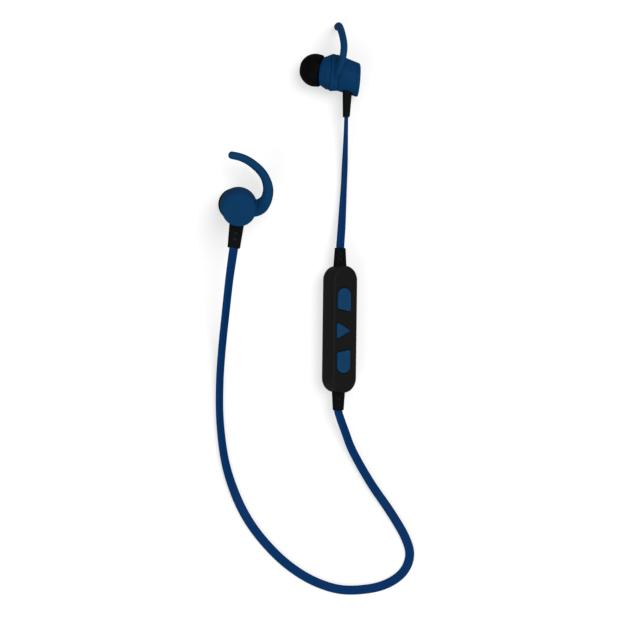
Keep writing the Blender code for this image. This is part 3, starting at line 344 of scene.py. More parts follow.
def frame_matrix(place, outward, upward):
    """A frame at a place whose Z axis points outward and whose Y axis points upward."""
    z_axis = Vector(outward).normalized()
    y_axis = Vector(upward)
    y_axis = (y_axis - z_axis * y_axis.dot(z_axis)).normalized()
    x_axis = y_axis.cross(z_axis)
    turn = Matrix((x_axis, y_axis, z_axis)).transposed().to_4x4()
    return Matrix.Translation(place) @ turn


def nozzle_lean(hand):
    """The turn that leans a nozzle, about the middle of the front housing's lip."""
    across = Matrix.Rotation(math.radians(hand * NOZZLE_LEAN_ACROSS), 4, "Y")
    up = Matrix.Rotation(math.radians(NOZZLE_LEAN_UP), 4, "X")
    pivot = Matrix.Translation((0.0, 0.0, -CONE_START))
    return pivot @ across @ up @ pivot.inverted()


LEFT_BUD = frame_matrix(LEFT_BUD_PLACE, LEFT_BUD_OUTWARD, LEFT_BUD_UPWARD)
RIGHT_BUD = frame_matrix(RIGHT_BUD_PLACE, RIGHT_BUD_OUTWARD, RIGHT_BUD_UPWARD)
POD = frame_matrix(POD_PLACE, POD_OUTWARD, POD_UPWARD)


# Sockets of a colour mix: its two colours and its result
MIX_FIRST = 6
MIX_SECOND = 7
MIX_RESULT = 2

# Edge wear, dust and smears of the finishes
WEAR_SAMPLES = 4
WEAR_ALIGNMENT = (0.995, 0.90)
WEAR_GAIN = 1.6
WEAR_LIFT = 0.012
SPECK_SPACING = 1.1 * MM
SPECK_EDGE = (0.06, 0.02)
SPECK_COLOUR = (0.10, 0.10, 0.10, 1.0)
SMEAR_SIZE = 1.6 * MM


def nodes_of(material):
    """The node tree of a new material, its Principled shader and a maker of nodes."""
    tree = material.node_tree
    shader = tree.nodes["Principled BSDF"]

    def node(kind, **values):
        made = tree.nodes.new(kind)
        for key, value in values.items():
            if key in made.inputs:
                made.inputs[key].default_value = value
            else:
                setattr(made, key.lower(), value)
        return made

    return tree, shader, node


def finish(name, colour, roughness, shine=0.0, metallic=0.0, drift=0.12, drift_size=4.0, grain=0.14,
           relief=0.004, uneven=0.06, wear=0.0, wear_radius=0.35, specks=0.0, lines=None):
    """A surface. Shine is the weight of the gloss on one that is no metal, its colour drifts over a few
    millimetres, grain and relief are its texture in millimetres, uneven is the spread of its roughness, wear
    lightens its edges, specks are dust, and lines run along the UV map's first axis."""
    material = bpy.data.materials.new(name)
    material.use_nodes = True
    tree, shader, node = nodes_of(material)
    link = tree.links.new
    shader.inputs["Metallic"].default_value = metallic
    if not metallic:
        shader.inputs["Specular IOR Level"].default_value = 0.0
        shader.inputs["Coat Weight"].default_value = shine
        shader.inputs["Coat Roughness"].default_value = roughness
    place = node("ShaderNodeTexCoord").outputs["Object"]

    cloud = node("ShaderNodeTexNoise", Scale=1.0 / (drift_size * MM), Detail=4.0, Roughness=0.6)
    link(place, cloud.inputs["Vector"])
    tint = node("ShaderNodeMix", data_type="RGBA")
    tint.inputs[MIX_FIRST].default_value = (*(channel * (1.0 - drift) for channel in colour), 1.0)
    tint.inputs[MIX_SECOND].default_value = (*(channel * (1.0 + drift) for channel in colour), 1.0)
    link(cloud.outputs["Fac"], tint.inputs[0])
    shade = tint.outputs[MIX_RESULT]

    if wear:
        bevel = node("ShaderNodeBevel", Radius=wear_radius * MM)
        bevel.samples = WEAR_SAMPLES
        surface = node("ShaderNodeNewGeometry")
        align = node("ShaderNodeVectorMath", operation="DOT_PRODUCT")
        link(bevel.outputs["Normal"], align.inputs[0])
        link(surface.outputs["Normal"], align.inputs[1])
        edge = node("ShaderNodeMapRange")
        edge.inputs["From Min"].default_value = WEAR_ALIGNMENT[0]
        edge.inputs["From Max"].default_value = WEAR_ALIGNMENT[1]
        edge.inputs["To Max"].default_value = wear
        link(align.outputs["Value"], edge.inputs["Value"])
        rub = node("ShaderNodeMix", data_type="RGBA")
        worn = [min(1.0, channel * WEAR_GAIN + WEAR_LIFT) for channel in colour]
        rub.inputs[MIX_SECOND].default_value = (*worn, 1.0)
        link(edge.outputs["Result"], rub.inputs[0])
        link(shade, rub.inputs[MIX_FIRST])
        shade = rub.outputs[MIX_RESULT]

    if specks:
        dust = node("ShaderNodeTexVoronoi", Scale=1.0 / SPECK_SPACING)
        link(place, dust.inputs["Vector"])
        spot = node("ShaderNodeMapRange")
        spot.inputs["From Min"].default_value = SPECK_EDGE[0]
        spot.inputs["From Max"].default_value = SPECK_EDGE[1]
        spot.inputs["To Max"].default_value = specks
        link(dust.outputs["Distance"], spot.inputs["Value"])
        fleck = node("ShaderNodeMix", data_type="RGBA")
        fleck.inputs[MIX_SECOND].default_value = SPECK_COLOUR
        link(spot.outputs["Result"], fleck.inputs[0])
        link(shade, fleck.inputs[MIX_FIRST])
        shade = fleck.outputs[MIX_RESULT]
    link(shade, shader.inputs["Base Color"])

    smear = node("ShaderNodeTexNoise", Scale=1.0 / SMEAR_SIZE, Detail=3.0, Roughness=0.65)
    link(place, smear.inputs["Vector"])
    gloss = node("ShaderNodeMapRange")
    gloss.inputs["To Min"].default_value = roughness - uneven
    gloss.inputs["To Max"].default_value = roughness + uneven
    link(smear.outputs["Fac"], gloss.inputs["Value"])
    link(gloss.outputs["Result"], shader.inputs["Roughness"])

    texture = node("ShaderNodeTexNoise", Scale=1.0 / (grain * MM), Detail=2.0, Roughness=0.55)
    if lines:
        along, across = lines
        spread = node("ShaderNodeMapping")
        spread.inputs["Scale"].default_value = (1.0 / along, 1.0 / across, 1.0)
        link(node("ShaderNodeTexCoord").outputs["UV"], spread.inputs["Vector"])
        link(spread.outputs["Vector"], texture.inputs["Vector"])
        texture.inputs["Scale"].default_value = 1.0
    else:
        link(place, texture.inputs["Vector"])
    bump = node("ShaderNodeBump", Strength=1.0, Distance=relief * MM)
    link(texture.outputs["Fac"], bump.inputs["Height"])
    link(bump.outputs["Normal"], shader.inputs["Normal"])
    return material


HOUSING = finish("moulded_blue", (0.0022, 0.0370, 0.1100), 0.48, 0.05, wear=0.10)
SILICONE = finish("hook_silicone", (0.0026, 0.0410, 0.1200), 0.52, 0.07, grain=0.25, relief=0.005,
                  specks=0.06)
TIP = finish("tip_silicone", (0.0019, 0.0019, 0.0020), 0.42, 0.04, grain=0.3, relief=0.005, specks=0.05)
RUBBER = finish("boot_rubber", (0.0034, 0.0039, 0.0045), 0.58, 0.05, grain=0.16, relief=0.008,
                wear=0.1, wear_radius=0.25)
POD_SKIN = finish("pod_black_textured", (0.0056, 0.0056, 0.0057), 0.50, 0.12, grain=0.11, relief=0.007,
                  wear=0.06)
BUTTON = finish("button_satin_blue", (0.0054, 0.0450, 0.1190), 0.46, 0.10, grain=0.16, relief=0.005,
                wear=0.15, wear_radius=0.25)
CABLE = finish("cable_blue_jacket", (0.0008, 0.0285, 0.1170), 0.48, 0.07, drift=0.16, drift_size=9.0,
               relief=0.012, lines=(6.0 * MM, 0.16 * MM))
# The cable's core in the boots' windows: the blue cable darkened and greyed with painted shade, as it looks
# in their shade.
CORE_IN_PAINTED_SHADE = finish("cable_core", (0.009, 0.016, 0.024), 0.45, 0.10, grain=0.12, relief=0.006)
STEEL = finish("pressed_steel", (0.46, 0.46, 0.45), 0.34, metallic=1.0, grain=0.10, relief=0.003,
               uneven=0.1)
NICKEL = finish("plated_magnet", (0.60, 0.60, 0.58), 0.25, metallic=1.0, grain=0.2, relief=0.002,
                uneven=0.1)
COPPER = finish("wound_copper", (0.45, 0.16, 0.06), 0.35, metallic=1.0, grain=0.06, relief=0.01)
FILM = finish("driver_film", (0.60, 0.50, 0.30), 0.30, 0.5, grain=0.4, relief=0.004)
BOARD = finish("solder_mask", (0.01, 0.10, 0.05), 0.42, 0.5, drift=0.25, drift_size=1.2, grain=0.3,
               relief=0.006)
CHIP = finish("chip_resin", (0.012, 0.012, 0.012), 0.60, 0.3, grain=0.08, relief=0.006)
CELL = finish("cell_wrap", (0.60, 0.60, 0.58), 0.45, 0.4, grain=0.5, relief=0.01)
FOAM = finish("pad_foam", (0.012, 0.012, 0.012), 0.90, 0.1, grain=0.18, relief=0.05)
LAMP = finish("white_nylon", (0.78, 0.78, 0.76), 0.35, 0.4, grain=0.2, relief=0.003)
GOLD = finish("contact_gold", (0.80, 0.56, 0.22), 0.30, metallic=1.0, grain=0.1, relief=0.002)

# Finish of the CAD nodes that stay in sight, by the record's slot
NODE_FINISH = {
    "screen_steel": STEEL,
    "magnet_steel": NICKEL,
    "coil_copper": COPPER,
    "film": FILM,
    "board": BOARD,
    "chip_black": CHIP,
    "cell": CELL,
    "foam": FOAM,
    "lamp": LAMP,
}


def to_mesh(shape, name):
    """A mesh from a bmesh, with its faces turned outwards."""
    bmesh.ops.recalc_face_normals(shape, faces=shape.faces)
    mesh = bpy.data.meshes.new(name)
    shape.to_mesh(mesh)
    shape.free()
    return mesh


def rounded(corners, closed=True):
    """The points of a profile of (radius, depth, rounding) corners."""
    points = []
    count = len(corners)
    for index, (across, along, radius) in enumerate(corners):
        here = Vector((across, along))
        at_end = not closed and index in (0, count - 1)
        if at_end or radius <= 0.0:
            points.append(here)
            continue
        back = Vector(corners[index - 1][:2]) - here
        ahead = Vector(corners[(index + 1) % count][:2]) - here
        opening = back.angle(ahead)
        if opening > math.pi - STRAIGHT:
            points.append(here)
            continue
        reach = min(radius / math.tan(opening / 2.0), EDGE_SHARE * back.length, EDGE_SHARE * ahead.length)
        radius = reach * math.tan(opening / 2.0)
        back.normalize()
        ahead.normalize()
        centre = here + (back + ahead).normalized() * radius / math.sin(opening / 2.0)
        first = here + back * reach - centre
        sweep = first.angle_signed(here + ahead * reach - centre)
        for step in range(ARC + 1):
            turn = -sweep * step / ARC
            points.append(centre + Matrix.Rotation(turn, 2) @ first)
    return points


def lathe(name, profile, closed=True, steps=SPIN):
    """A profile of (radius, depth) points turned about the Z axis."""
    shape = bmesh.new()
    rings = []
    for radius, depth in profile:
        if radius < ON_AXIS:
            rings.append([shape.verts.new((0.0, 0.0, -depth))])
            continue
        ring = []
        for step in range(steps):
            turn = 2.0 * math.pi * step / steps
            ring.append(shape.verts.new((radius * math.cos(turn), radius * math.sin(turn), -depth)))
        rings.append(ring)
    pairs = list(zip(rings, rings[1:]))
    if closed:
        pairs.append((rings[-1], rings[0]))
    for ring, after in pairs:
        for step in range(steps):
            other = (step + 1) % steps
            corners = [ring[step % len(ring)], ring[other % len(ring)],
                       after[other % len(after)], after[step % len(after)]]
            corners = list(dict.fromkeys(corners))
            if len(corners) > 2:
                shape.faces.new(corners)
    return to_mesh(shape, name)


def outline(corners, grow=0.0, steps=CORNER_STEPS):
    """Points round a convex outline of (across, along, radius) corners, grown outwards by a distance."""
    points = []
    count = len(corners)
    for index in range(count):
        before = Vector(corners[index - 1][:2])
        here = Vector(corners[index][:2])
        after = Vector(corners[(index + 1) % count][:2])
        way_in = (here - before).normalized()
        way_out = (after - here).normalized()
        normal_in = Vector((way_in.y, -way_in.x))
        normal_out = Vector((way_out.y, -way_out.x))
        mitre = (normal_in + normal_out) / (1.0 + normal_in.dot(normal_out))
        radius = corners[index][2]
        centre = here - mitre * radius
        start = math.atan2(normal_in.y, normal_in.x)
        turn = math.acos(max(-1.0, min(1.0, normal_in.dot(normal_out))))
        for step in range(steps + 1):
            angle = start + turn * step / steps
            reach = radius + grow
            points.append((centre.x + reach * math.cos(angle), centre.y + reach * math.sin(angle)))
    return points


def oblong(width, height, radius):
    """The corners of a rounded rectangle."""
    across = width / 2.0
    along = height / 2.0
    places = [(-across, -along), (across, -along), (across, along), (-across, along)]
    return [(*place, radius) for place in places]


def loft(name, sections):
    """A closed solid through sections of equally many points."""
    shape = bmesh.new()
    rings = [[shape.verts.new(point) for point in section] for section in sections]
    sides = len(rings[0])
    for ring, after in zip(rings, rings[1:]):
        for side in range(sides):
            other = (side + 1) % sides
            shape.faces.new((ring[side], ring[other], after[other], after[side]))
    shape.faces.new(reversed(rings[0]))
    shape.faces.new(rings[-1])
    bmesh.ops.remove_doubles(shape, verts=shape.verts, dist=WELD)
    return to_mesh(shape, name)


def stack(name, corners, levels):
    """A solid of one outline at several (growth, height) levels."""
    return loft(name, [[(*point, height) for point in outline(corners, grow)] for grow, height in levels])


def quarter(radius, level, inward, rising, steps=8):
    """Levels round a quarter circle that draws an outline in, up or down to a level."""
    found = []
    for step in range(steps + 1):
        turn = math.pi / 2.0 * step / steps
        drawn_in = inward - radius * (1.0 - math.cos(turn))
        found.append((drawn_in, level - rising * radius * (1.0 - math.sin(turn))))
    return found


def helper(mesh, matrix=None):
    """A passing object for a cutter."""
    made = bpy.data.objects.new("cutter", mesh)
    bpy.context.scene.collection.objects.link(made)
    if matrix is not None:
        made.matrix_world = matrix
    return made


def baked(piece):
    """Replace a piece's mesh by what its modifiers make of it."""
    bpy.context.view_layer.update()
    graph = bpy.context.evaluated_depsgraph_get()
    mesh = bpy.data.meshes.new_from_object(piece.evaluated_get(graph))
    piece.modifiers.clear()
    piece.data = mesh


def cut(piece, cutters, operation="DIFFERENCE"):
    """Take cutters from a piece, or join them to it, and remove them."""
    for tool in cutters:
        step = piece.modifiers.new("cut", "BOOLEAN")
        step.operation = operation
        step.object = tool
        step.solver = "EXACT"
    baked(piece)
    for tool in cutters:
        bpy.data.objects.remove(tool, do_unlink=True)


def shaded(piece, angle=SHARP_ANGLE):
    """Smooth shading with sharp edges past an angle, and flat faces kept flat."""
    piece.data.shade_smooth()
    piece.data.set_sharp_from_angle(angle=math.radians(angle))
    even = piece.modifiers.new("even", "WEIGHTED_NORMAL")
    even.keep_sharp = True


def piece_of(name, mesh, matrix, material, body, slot, *nodes):
    """A piece moved from its frame to the shared one, on its body, that stands for CAD nodes."""
    mesh.materials.clear()
    mesh.materials.append(material)
    mesh.transform(matrix)
    made = bpy.data.objects.new(name, mesh)
    bpy.context.scene.collection.objects.link(made)
    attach(made, body)
    if nodes:
        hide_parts(*nodes)
    return made


def rear_offset(depth):
    """How far the sloping rear housing has dropped at a depth."""
    return -REAR_SLOPE * max(0.0, REAR_END - depth)


def sloped(mesh):
    """Slope a turned mesh as the rear housing slopes."""
    for point in mesh.vertices:
        point.co.y += rear_offset(-point.co.z)
    return mesh


def end_cap(side, base):
    """The round cap with a softly rounded edge."""
    spigot = REAR_BORE - FIT
    profile = rounded([
        (0.0, 0.0, 0.0),
        (CAP_RADIUS, 0.0, CAP_EDGE),
        (CAP_RADIUS, CAP_THICKNESS, HAIR_ROUND),
        (spigot, CAP_THICKNESS, 0.0),
        (spigot, CAP_THICKNESS + CAP_SPIGOT, FINE_ROUND),
        (0.0, CAP_THICKNESS + CAP_SPIGOT, 0.0),
    ], closed=False)
    mesh = sloped(lathe(side + "_cap", profile, closed=False))
    shaded(piece_of(side + "_cap", mesh, base, HOUSING, ROOT, "housing_blue", side + "_end_cap"))


def rear_housing(side, base):
    """The sloping barrel, holed for its strain relief."""
    profile = rounded([
        (CAP_RADIUS, REAR_START, HAIR_ROUND),
        (REAR_RADIUS, REAR_END, SEAM_ROUND),
        (REAR_BORE, REAR_END, 0.0),
        (REAR_BORE, REAR_START, 0.0),
    ])
    mesh = sloped(lathe(side + "_barrel", profile))
    barrel = piece_of(side + "_barrel", mesh, base, HOUSING, ROOT, "housing_blue", side + "_rear_housing")
    hole = oblong(BUD_RELIEF[1] + 2.0 * FIT, RELIEF_THICKNESS + 2.0 * FIT, RELIEF_EDGE + FIT)
    cutter = helper(stack("hole", hole, [(0.0, level) for level in RELIEF_HOLE]))
    cutter.matrix_world = relief_matrix(base) @ Matrix.Rotation(-math.pi / 2.0, 4, "X")
    cut(barrel, [cutter])
    shaded(barrel)


def relief_matrix(base):
    """The frame of a bud's strain relief, whose Y axis runs along it from its root."""
    root = Matrix.Translation((0.0, rear_offset(BUD_RELIEF_DEPTH) - REAR_BORE, -BUD_RELIEF_DEPTH))
    lean = Matrix.Rotation(math.radians(BUD_RELIEF_LEAN), 4, "X")
    return base @ root @ Matrix.Rotation(math.pi, 4, "Z") @ lean


def front_housing(side, hand, base):
    """The sleeve's seat, the lip, the front cone and the leaning nozzle with its barb."""
    profile = rounded([
        (SPIGOT_RADIUS, SPIGOT_START, FINE_ROUND),
        (SPIGOT_RADIUS, SEAT_START, 0.0),
        (SEAT_RADIUS, SEAT_START, SEAM_ROUND),
        (SEAT_RADIUS, LIP_START, 0.0),
        (LIP_RADIUS, LIP_START, SEAM_ROUND),
        (LIP_RADIUS, CONE_START, LIP_ROUND),
        (FLANGE_RADIUS, FRONT_FACE, FLANGE_ROUND),
        (NOZZLE_RADIUS, FRONT_FACE, SOFT_ROUND),
        (NOZZLE_RADIUS, BARB_START, FINE_ROUND),
        (BARB_RADIUS, (BARB_START + BARB_END) / 2.0, RIM_ROUND),
        (NOZZLE_RADIUS, BARB_END, FINE_ROUND),
        (NOZZLE_RADIUS, NOZZLE_END, MOUTH_ROUND),
        (SCREEN_SEAT_RADIUS, NOZZLE_END, SEAM_ROUND),
        (SCREEN_SEAT_RADIUS, SCREEN_SEAT, 0.0),
        (NOZZLE_BORE, SCREEN_SEAT, HAIR_ROUND),
        (NOZZLE_BORE, FRONT_FACE, SOFT_ROUND),
        (CAVITY_SHOULDER, CAVITY_END, 0.0),
        (CAVITY_RADIUS, CAVITY_END, 0.0),
        (CAVITY_RADIUS, SPIGOT_START, 0.0),
    ])
    mesh = lathe(side + "_front", profile)
    lean = nozzle_lean(hand)
    for point in mesh.vertices:
        share = max(0.0, min(1.0, (-point.co.z - CONE_START) / LEAN_BLEND))
        if share > 0.0:
            point.co = point.co.lerp(lean @ point.co, share)
    shaded(piece_of(side + "_front", mesh, base, HOUSING, ROOT, "housing_blue", side + "_front_housing"))


def nozzle_screen(side, nozzle):
    """A square wire mesh in a thin rim."""
    shape = bmesh.new()
    count = int(SCREEN_RADIUS / SCREEN_PITCH)
    spots = {}
    for row in range(-count, count + 1):
        for column in range(-count, count + 1):
            place = Vector((row * SCREEN_PITCH, column * SCREEN_PITCH, 0.0))
            if place.length < SCREEN_RADIUS - SCREEN_MARGIN:
                spots[row, column] = shape.verts.new(place)
    for row, column in spots:
        square = [(row, column), (row + 1, column), (row + 1, column + 1), (row, column + 1)]
        if all(spot in spots for spot in square):
            shape.faces.new([spots[spot] for spot in square])
    for loose in [point for point in shape.verts if not point.link_faces]:
        shape.verts.remove(loose)
    net = helper(to_mesh(shape, side + "_screen"))
    wires = net.modifiers.new("wires", "WIREFRAME")
    wires.thickness = SCREEN_WIRE
    wires.use_even_offset = False
    baked(net)
    rim = lathe("rim", rounded([
        (SCREEN_RADIUS, -SCREEN_THICKNESS / 2.0, WIRE_ROUND),
        (SCREEN_RADIUS, SCREEN_THICKNESS / 2.0, WIRE_ROUND),
        (SCREEN_RADIUS - SCREEN_RIM, SCREEN_THICKNESS / 2.0, WIRE_ROUND),
        (SCREEN_RADIUS - SCREEN_RIM, -SCREEN_THICKNESS / 2.0, WIRE_ROUND),
    ]), steps=SCREEN_RIM_STEPS)
    both = bmesh.new()
    both.from_mesh(net.data)
    both.from_mesh(rim)
    bpy.data.objects.remove(net, do_unlink=True)
    level = Matrix.Translation((0.0, 0.0, -(SCREEN_SEAT + MOUNT_GAP + SCREEN_THICKNESS / 2.0)))
    mesh = to_mesh(both, side + "_screen")
    screen = piece_of(side + "_screen", mesh, nozzle @ level, STEEL, ROOT, "screen_steel",
                      side + "_nozzle_screen")
    shaded(screen)


def ear_tip(side, nozzle, body):
    """The silicone dome with a thin rolled rim, and its inner tube."""
    dome = TIP_START + TIP_LENGTH - TIP_DOME
    inner = TIP_RADIUS - TIP_WALL
    bore = BARB_RADIUS + FIT
    tube = bore + TIP_TUBE_WALL
    last_outer = math.acos((TIP_MOUTH + TIP_WALL) / TIP_RADIUS)
    last_inner = math.acos(tube / inner)
    corners = [
        (inner - TIP_WALL / 2.0, TIP_START, FINE_ROUND),
        (TIP_RADIUS - TIP_WALL / 2.0, TIP_START, SOFT_ROUND),
    ]
    for step in range(TIP_STEPS + 1):
        turn = last_outer * step / TIP_STEPS
        corners.append((TIP_RADIUS * math.cos(turn), dome + TIP_DOME * math.sin(turn), 0.0))
    top = dome + TIP_DOME * math.sin(last_outer)
    corners += [
        (TIP_MOUTH + TIP_MOUTH_FLARE, top - TIP_MOUTH_DROP, FINE_ROUND),
        (TIP_MOUTH, top - TIP_WALL / 2.0, RIM_ROUND),
        (TIP_MOUTH, NOZZLE_END + SEAT_GAP, FINE_ROUND),
        (bore, NOZZLE_END + SEAT_GAP, FINE_ROUND),
        (bore, TIP_START + TIP_TUBE_SETBACK, FINE_ROUND),
        (tube, TIP_START + TIP_TUBE_SETBACK, SOFT_ROUND),
    ]
    for step in range(TIP_STEPS, -1, -2):
        turn = last_inner * step / TIP_STEPS
        corners.append((inner * math.cos(turn), dome + (TIP_DOME - TIP_WALL) * math.sin(turn), 0.0))
    mesh = lathe(side + "_tip", rounded(corners))
    tip = piece_of(side + "_tip", mesh, nozzle, TIP, body, "silicone_black", side + "_ear_tip")
    shaded(tip, ROLLED_SHARP_ANGLE)


def smooth_route(stations, spacing):
    """Evenly spaced points on a smooth curve through stations of four numbers, without the outer two."""
    dense = []
    for index in range(len(stations) - 3):
        before, start, end, after = (Vector(row) for row in stations[index:index + 4])
        for step in range(ROUTE_SAMPLES):
            share = step / ROUTE_SAMPLES
            dense.append(0.5 * (2.0 * start + (end - before) * share
                                + (2.0 * before - 5.0 * start + 4.0 * end - after) * share ** 2
                                + (3.0 * start - before - 3.0 * end + after) * share ** 3))
    dense.append(Vector(stations[-2]))
    travelled = [0.0]
    for start, end in zip(dense, dense[1:]):
        travelled.append(travelled[-1] + (end.xyz - start.xyz).length)
    count = max(2, round(travelled[-1] / spacing))
    points = []
    place = 0
    for step in range(count + 1):
        target = travelled[-1] * step / count
        while place < len(dense) - 2 and travelled[place + 1] < target:
            place += 1
        share = (target - travelled[place]) / (travelled[place + 1] - travelled[place])
        points.append(dense[place].lerp(dense[place + 1], share))
    return points


def hook_sections(hand):
    """Oval sections along the hook, from its buried root to its rounded end."""
    rows = [Vector((across, up, -depth, width)) * MM for across, up, width, depth in HOOK_SPINE]
    rows = [2.0 * rows[0] - rows[1], *rows, 2.0 * rows[-1] - rows[-2]]
    spine = [(row, 1.0) for row in smooth_route(rows, HOOK_STEP)]
    tip = spine[-1][0]
    onward = (tip - spine[-2][0]).xyz.normalized() * tip.w / 2.0
    for step in range(1, HOOK_END_STEPS + 1):
        share = math.sin(math.pi / 2.0 * step / HOOK_END_SPAN)
        spine.append((tip + Vector((*(onward * share), 0.0)), math.sqrt(1.0 - share ** 2)))
    sections = []
    for index, (row, shrink) in enumerate(spine):
        before = spine[max(index - 1, 0)][0]
        after = spine[min(index + 1, len(spine) - 1)][0]
        outwards = Vector((after.y - before.y, before.x - after.x)).normalized()
        points = []
        for side in range(HOOK_SIDES):
            turn = 2.0 * math.pi * side / HOOK_SIDES
            reach = shrink * (row.w / 2.0 + HOOK_SWELL) * math.cos(turn)
            rise = shrink * (HOOK_THICKNESS / 2.0 + HOOK_SWELL) * math.sin(turn)
            across = hand * (row.x + reach * outwards.x)
            points.append((across, row.y + reach * outwards.y, row.z + rise))
        sections.append(points)
    return sections


def ear_hook(side, hand, base, body):
    """The soft sleeve and the curved hook, run together as one moulding."""
    hook = piece_of(side + "_hook", loft(side + "_hook", hook_sections(hand)), base, SILICONE, body,
                    "silicone_blue", side + "_ear_hook")
    sleeve = [
        (0.0, SLEEVE_START),
        (SLEEVE_RADIUS, SLEEVE_START),
        (SLEEVE_RADIUS, SLEEVE_RIM_DEPTH - SLEEVE_RIM_RISE),
        (SLEEVE_RIM, SLEEVE_RIM_DEPTH),
        (SLEEVE_RADIUS, SLEEVE_END),
        (0.0, SLEEVE_END),
    ]
    cut(hook, [helper(lathe("sleeve", sleeve, closed=False), base)], "UNION")
    blend = hook.modifiers.new("blend", "REMESH")
    blend.mode = "VOXEL"
    blend.voxel_size = HOOK_VOXEL
    soften = hook.modifiers.new("soften", "SMOOTH")
    soften.factor = HOOK_SOFTENING
    soften.iterations = HOOK_SOFT_PASSES
    baked(hook)
    clear = REAR_RADIUS + HOOK_RELIEF
    beyond = SLEEVE_END + HOLLOW_REACH
    hollow = [
        (0.0, REAR_START),
        (clear, REAR_START),
        (clear, SLEEVE_START),
        (SLEEVE_BORE, SLEEVE_START),
        (SLEEVE_BORE, beyond),
        (0.0, beyond),
    ]
    cut(hook, [helper(lathe("hollow", hollow, closed=False), base)])
    hook.data.materials.clear()
    hook.data.materials.append(SILICONE)
    shaded(hook, SOFT_SHARP_ANGLE)


def strain_relief(name, matrix, sizes, window_start, node):
    """A tapered rubber boot with windows in each wide face, and the cable's core that shows in them,
    coloured as the blue cable in painted shade.
    """
    length, width, end_width = sizes
    full = RELIEF_ROOT + length
    edge = RELIEF_END_ROUND

    def section(along, inset):
        share = along / full
        wide = width + (end_width - width) * share
        thick = RELIEF_THICKNESS + (RELIEF_END_THICKNESS - RELIEF_THICKNESS) * share
        corners = oblong(wide, thick, RELIEF_EDGE + RELIEF_EXTRA_ROUND)
        return [(across, along, up) for across, up in outline(corners, -inset, RELIEF_CORNER_STEPS)]

    sections = [section(0.0, 0.0)]
    for step in range(RELIEF_END_STEPS + 1):
        turn = math.pi / 2.0 * step / RELIEF_END_STEPS
        sections.append(section(full - edge + edge * math.sin(turn), edge * (1.0 - math.cos(turn))))
    mesh = loft(name + "_boot", sections)
    boot = piece_of(name + "_boot", mesh, matrix, RUBBER, ROOT, "relief_black", node)
    cutters = []
    for index in range(WINDOW_COUNT):
        along = RELIEF_ROOT + window_start + WINDOW_PITCH * index
        for face in (-1.0, 1.0):
            levels = [
                (0.0, face * (CORE_SIZE[1] / 2.0 - WINDOW_BITE)),
                (0.0, face * WINDOW_FLARE_START),
                (WINDOW_FLARE, face * WINDOW_FLARE_END),
            ]
            window = stack("window", oblong(*WINDOW_SIZE, WINDOW_ROUND), levels)
            cutters.append(helper(window, matrix @ Matrix.Translation((0.0, along, 0.0))))
    cut(boot, cutters)
    shaded(boot)
    core_start = RELIEF_ROOT + window_start - WINDOW_SIZE[1]
    core_end = RELIEF_ROOT + window_start + WINDOW_PITCH * (WINDOW_COUNT - 1) + WINDOW_SIZE[1]
    corners = oblong(*CORE_SIZE, CORE_SIZE[1] / 2.0 - CORE_FLAT)
    ring = outline(corners, 0.0, RELIEF_CORNER_STEPS)
    core_sections = [[(across, along, up) for across, up in ring] for along in (core_start, core_end)]
    core = loft(name + "_core", core_sections)
    # The core's colour is the blue cable with painted shade.
    shaded(piece_of(name + "_core", core, matrix, CORE_IN_PAINTED_SHADE, ROOT, "relief_black"))


def bud(side, hand, base):
    """One bud's pieces on its frame."""
    nozzle = base @ nozzle_lean(hand)
    end_cap(side, base)
    rear_housing(side, base)
    front_housing(side, hand, base)
    nozzle_screen(side, nozzle)
    ear_tip(side, nozzle, side + "_ear_tip")
    ear_hook(side, hand, base, side + "_ear_hook")
    strain_relief(side, relief_matrix(base), BUD_RELIEF, BUD_WINDOW_START, side + "_strain_relief")


POD_CORNERS = oblong(2.0 * POD_HALF_WIDTH, 2.0 * POD_END, POD_END_RADIUS)
BUTTONS = [
    ("volume_up", VOLUME_UP_CORNERS, BUTTON_ROW + BUTTON_PITCH, ("across", "along")),
    ("play", PLAY_CORNERS, BUTTON_ROW, ()),
    ("volume_down", VOLUME_DOWN_CORNERS, BUTTON_ROW - BUTTON_PITCH, ("along",)),
]


def relief_holes():
    """Cutters for the strain reliefs at the pod's ends."""
    corners = oblong(POD_RELIEF[1] + 2.0 * FIT, RELIEF_THICKNESS + 2.0 * FIT, RELIEF_EDGE + FIT)
    holes = []
    for end in (-1.0, 1.0):
        place = POD @ Matrix.Translation((0.0, end * POD_END, 0.0)) @ Matrix.Rotation(math.pi / 2.0, 4, "X")
        levels = [(0.0, level) for level in POD_RELIEF_HOLE]
        holes.append(helper(stack("hole", corners, levels), place))
    return holes


def socket_frame():
    """The frame of the charging socket: Z points out of its mouth and X lies along the pod."""
    turn = Matrix(((0.0, 0.0, 1.0), (1.0, 0.0, 0.0), (0.0, 1.0, 0.0))).to_4x4()
    return POD @ Matrix.Translation((SOCKET_FRONT, SOCKET_ALONG, SOCKET_HEIGHT)) @ turn


def button_frame(along):
    """The frame of a button at a place along the pod."""
    return POD @ Matrix.Translation((BUTTON_ACROSS, along, 0.0))


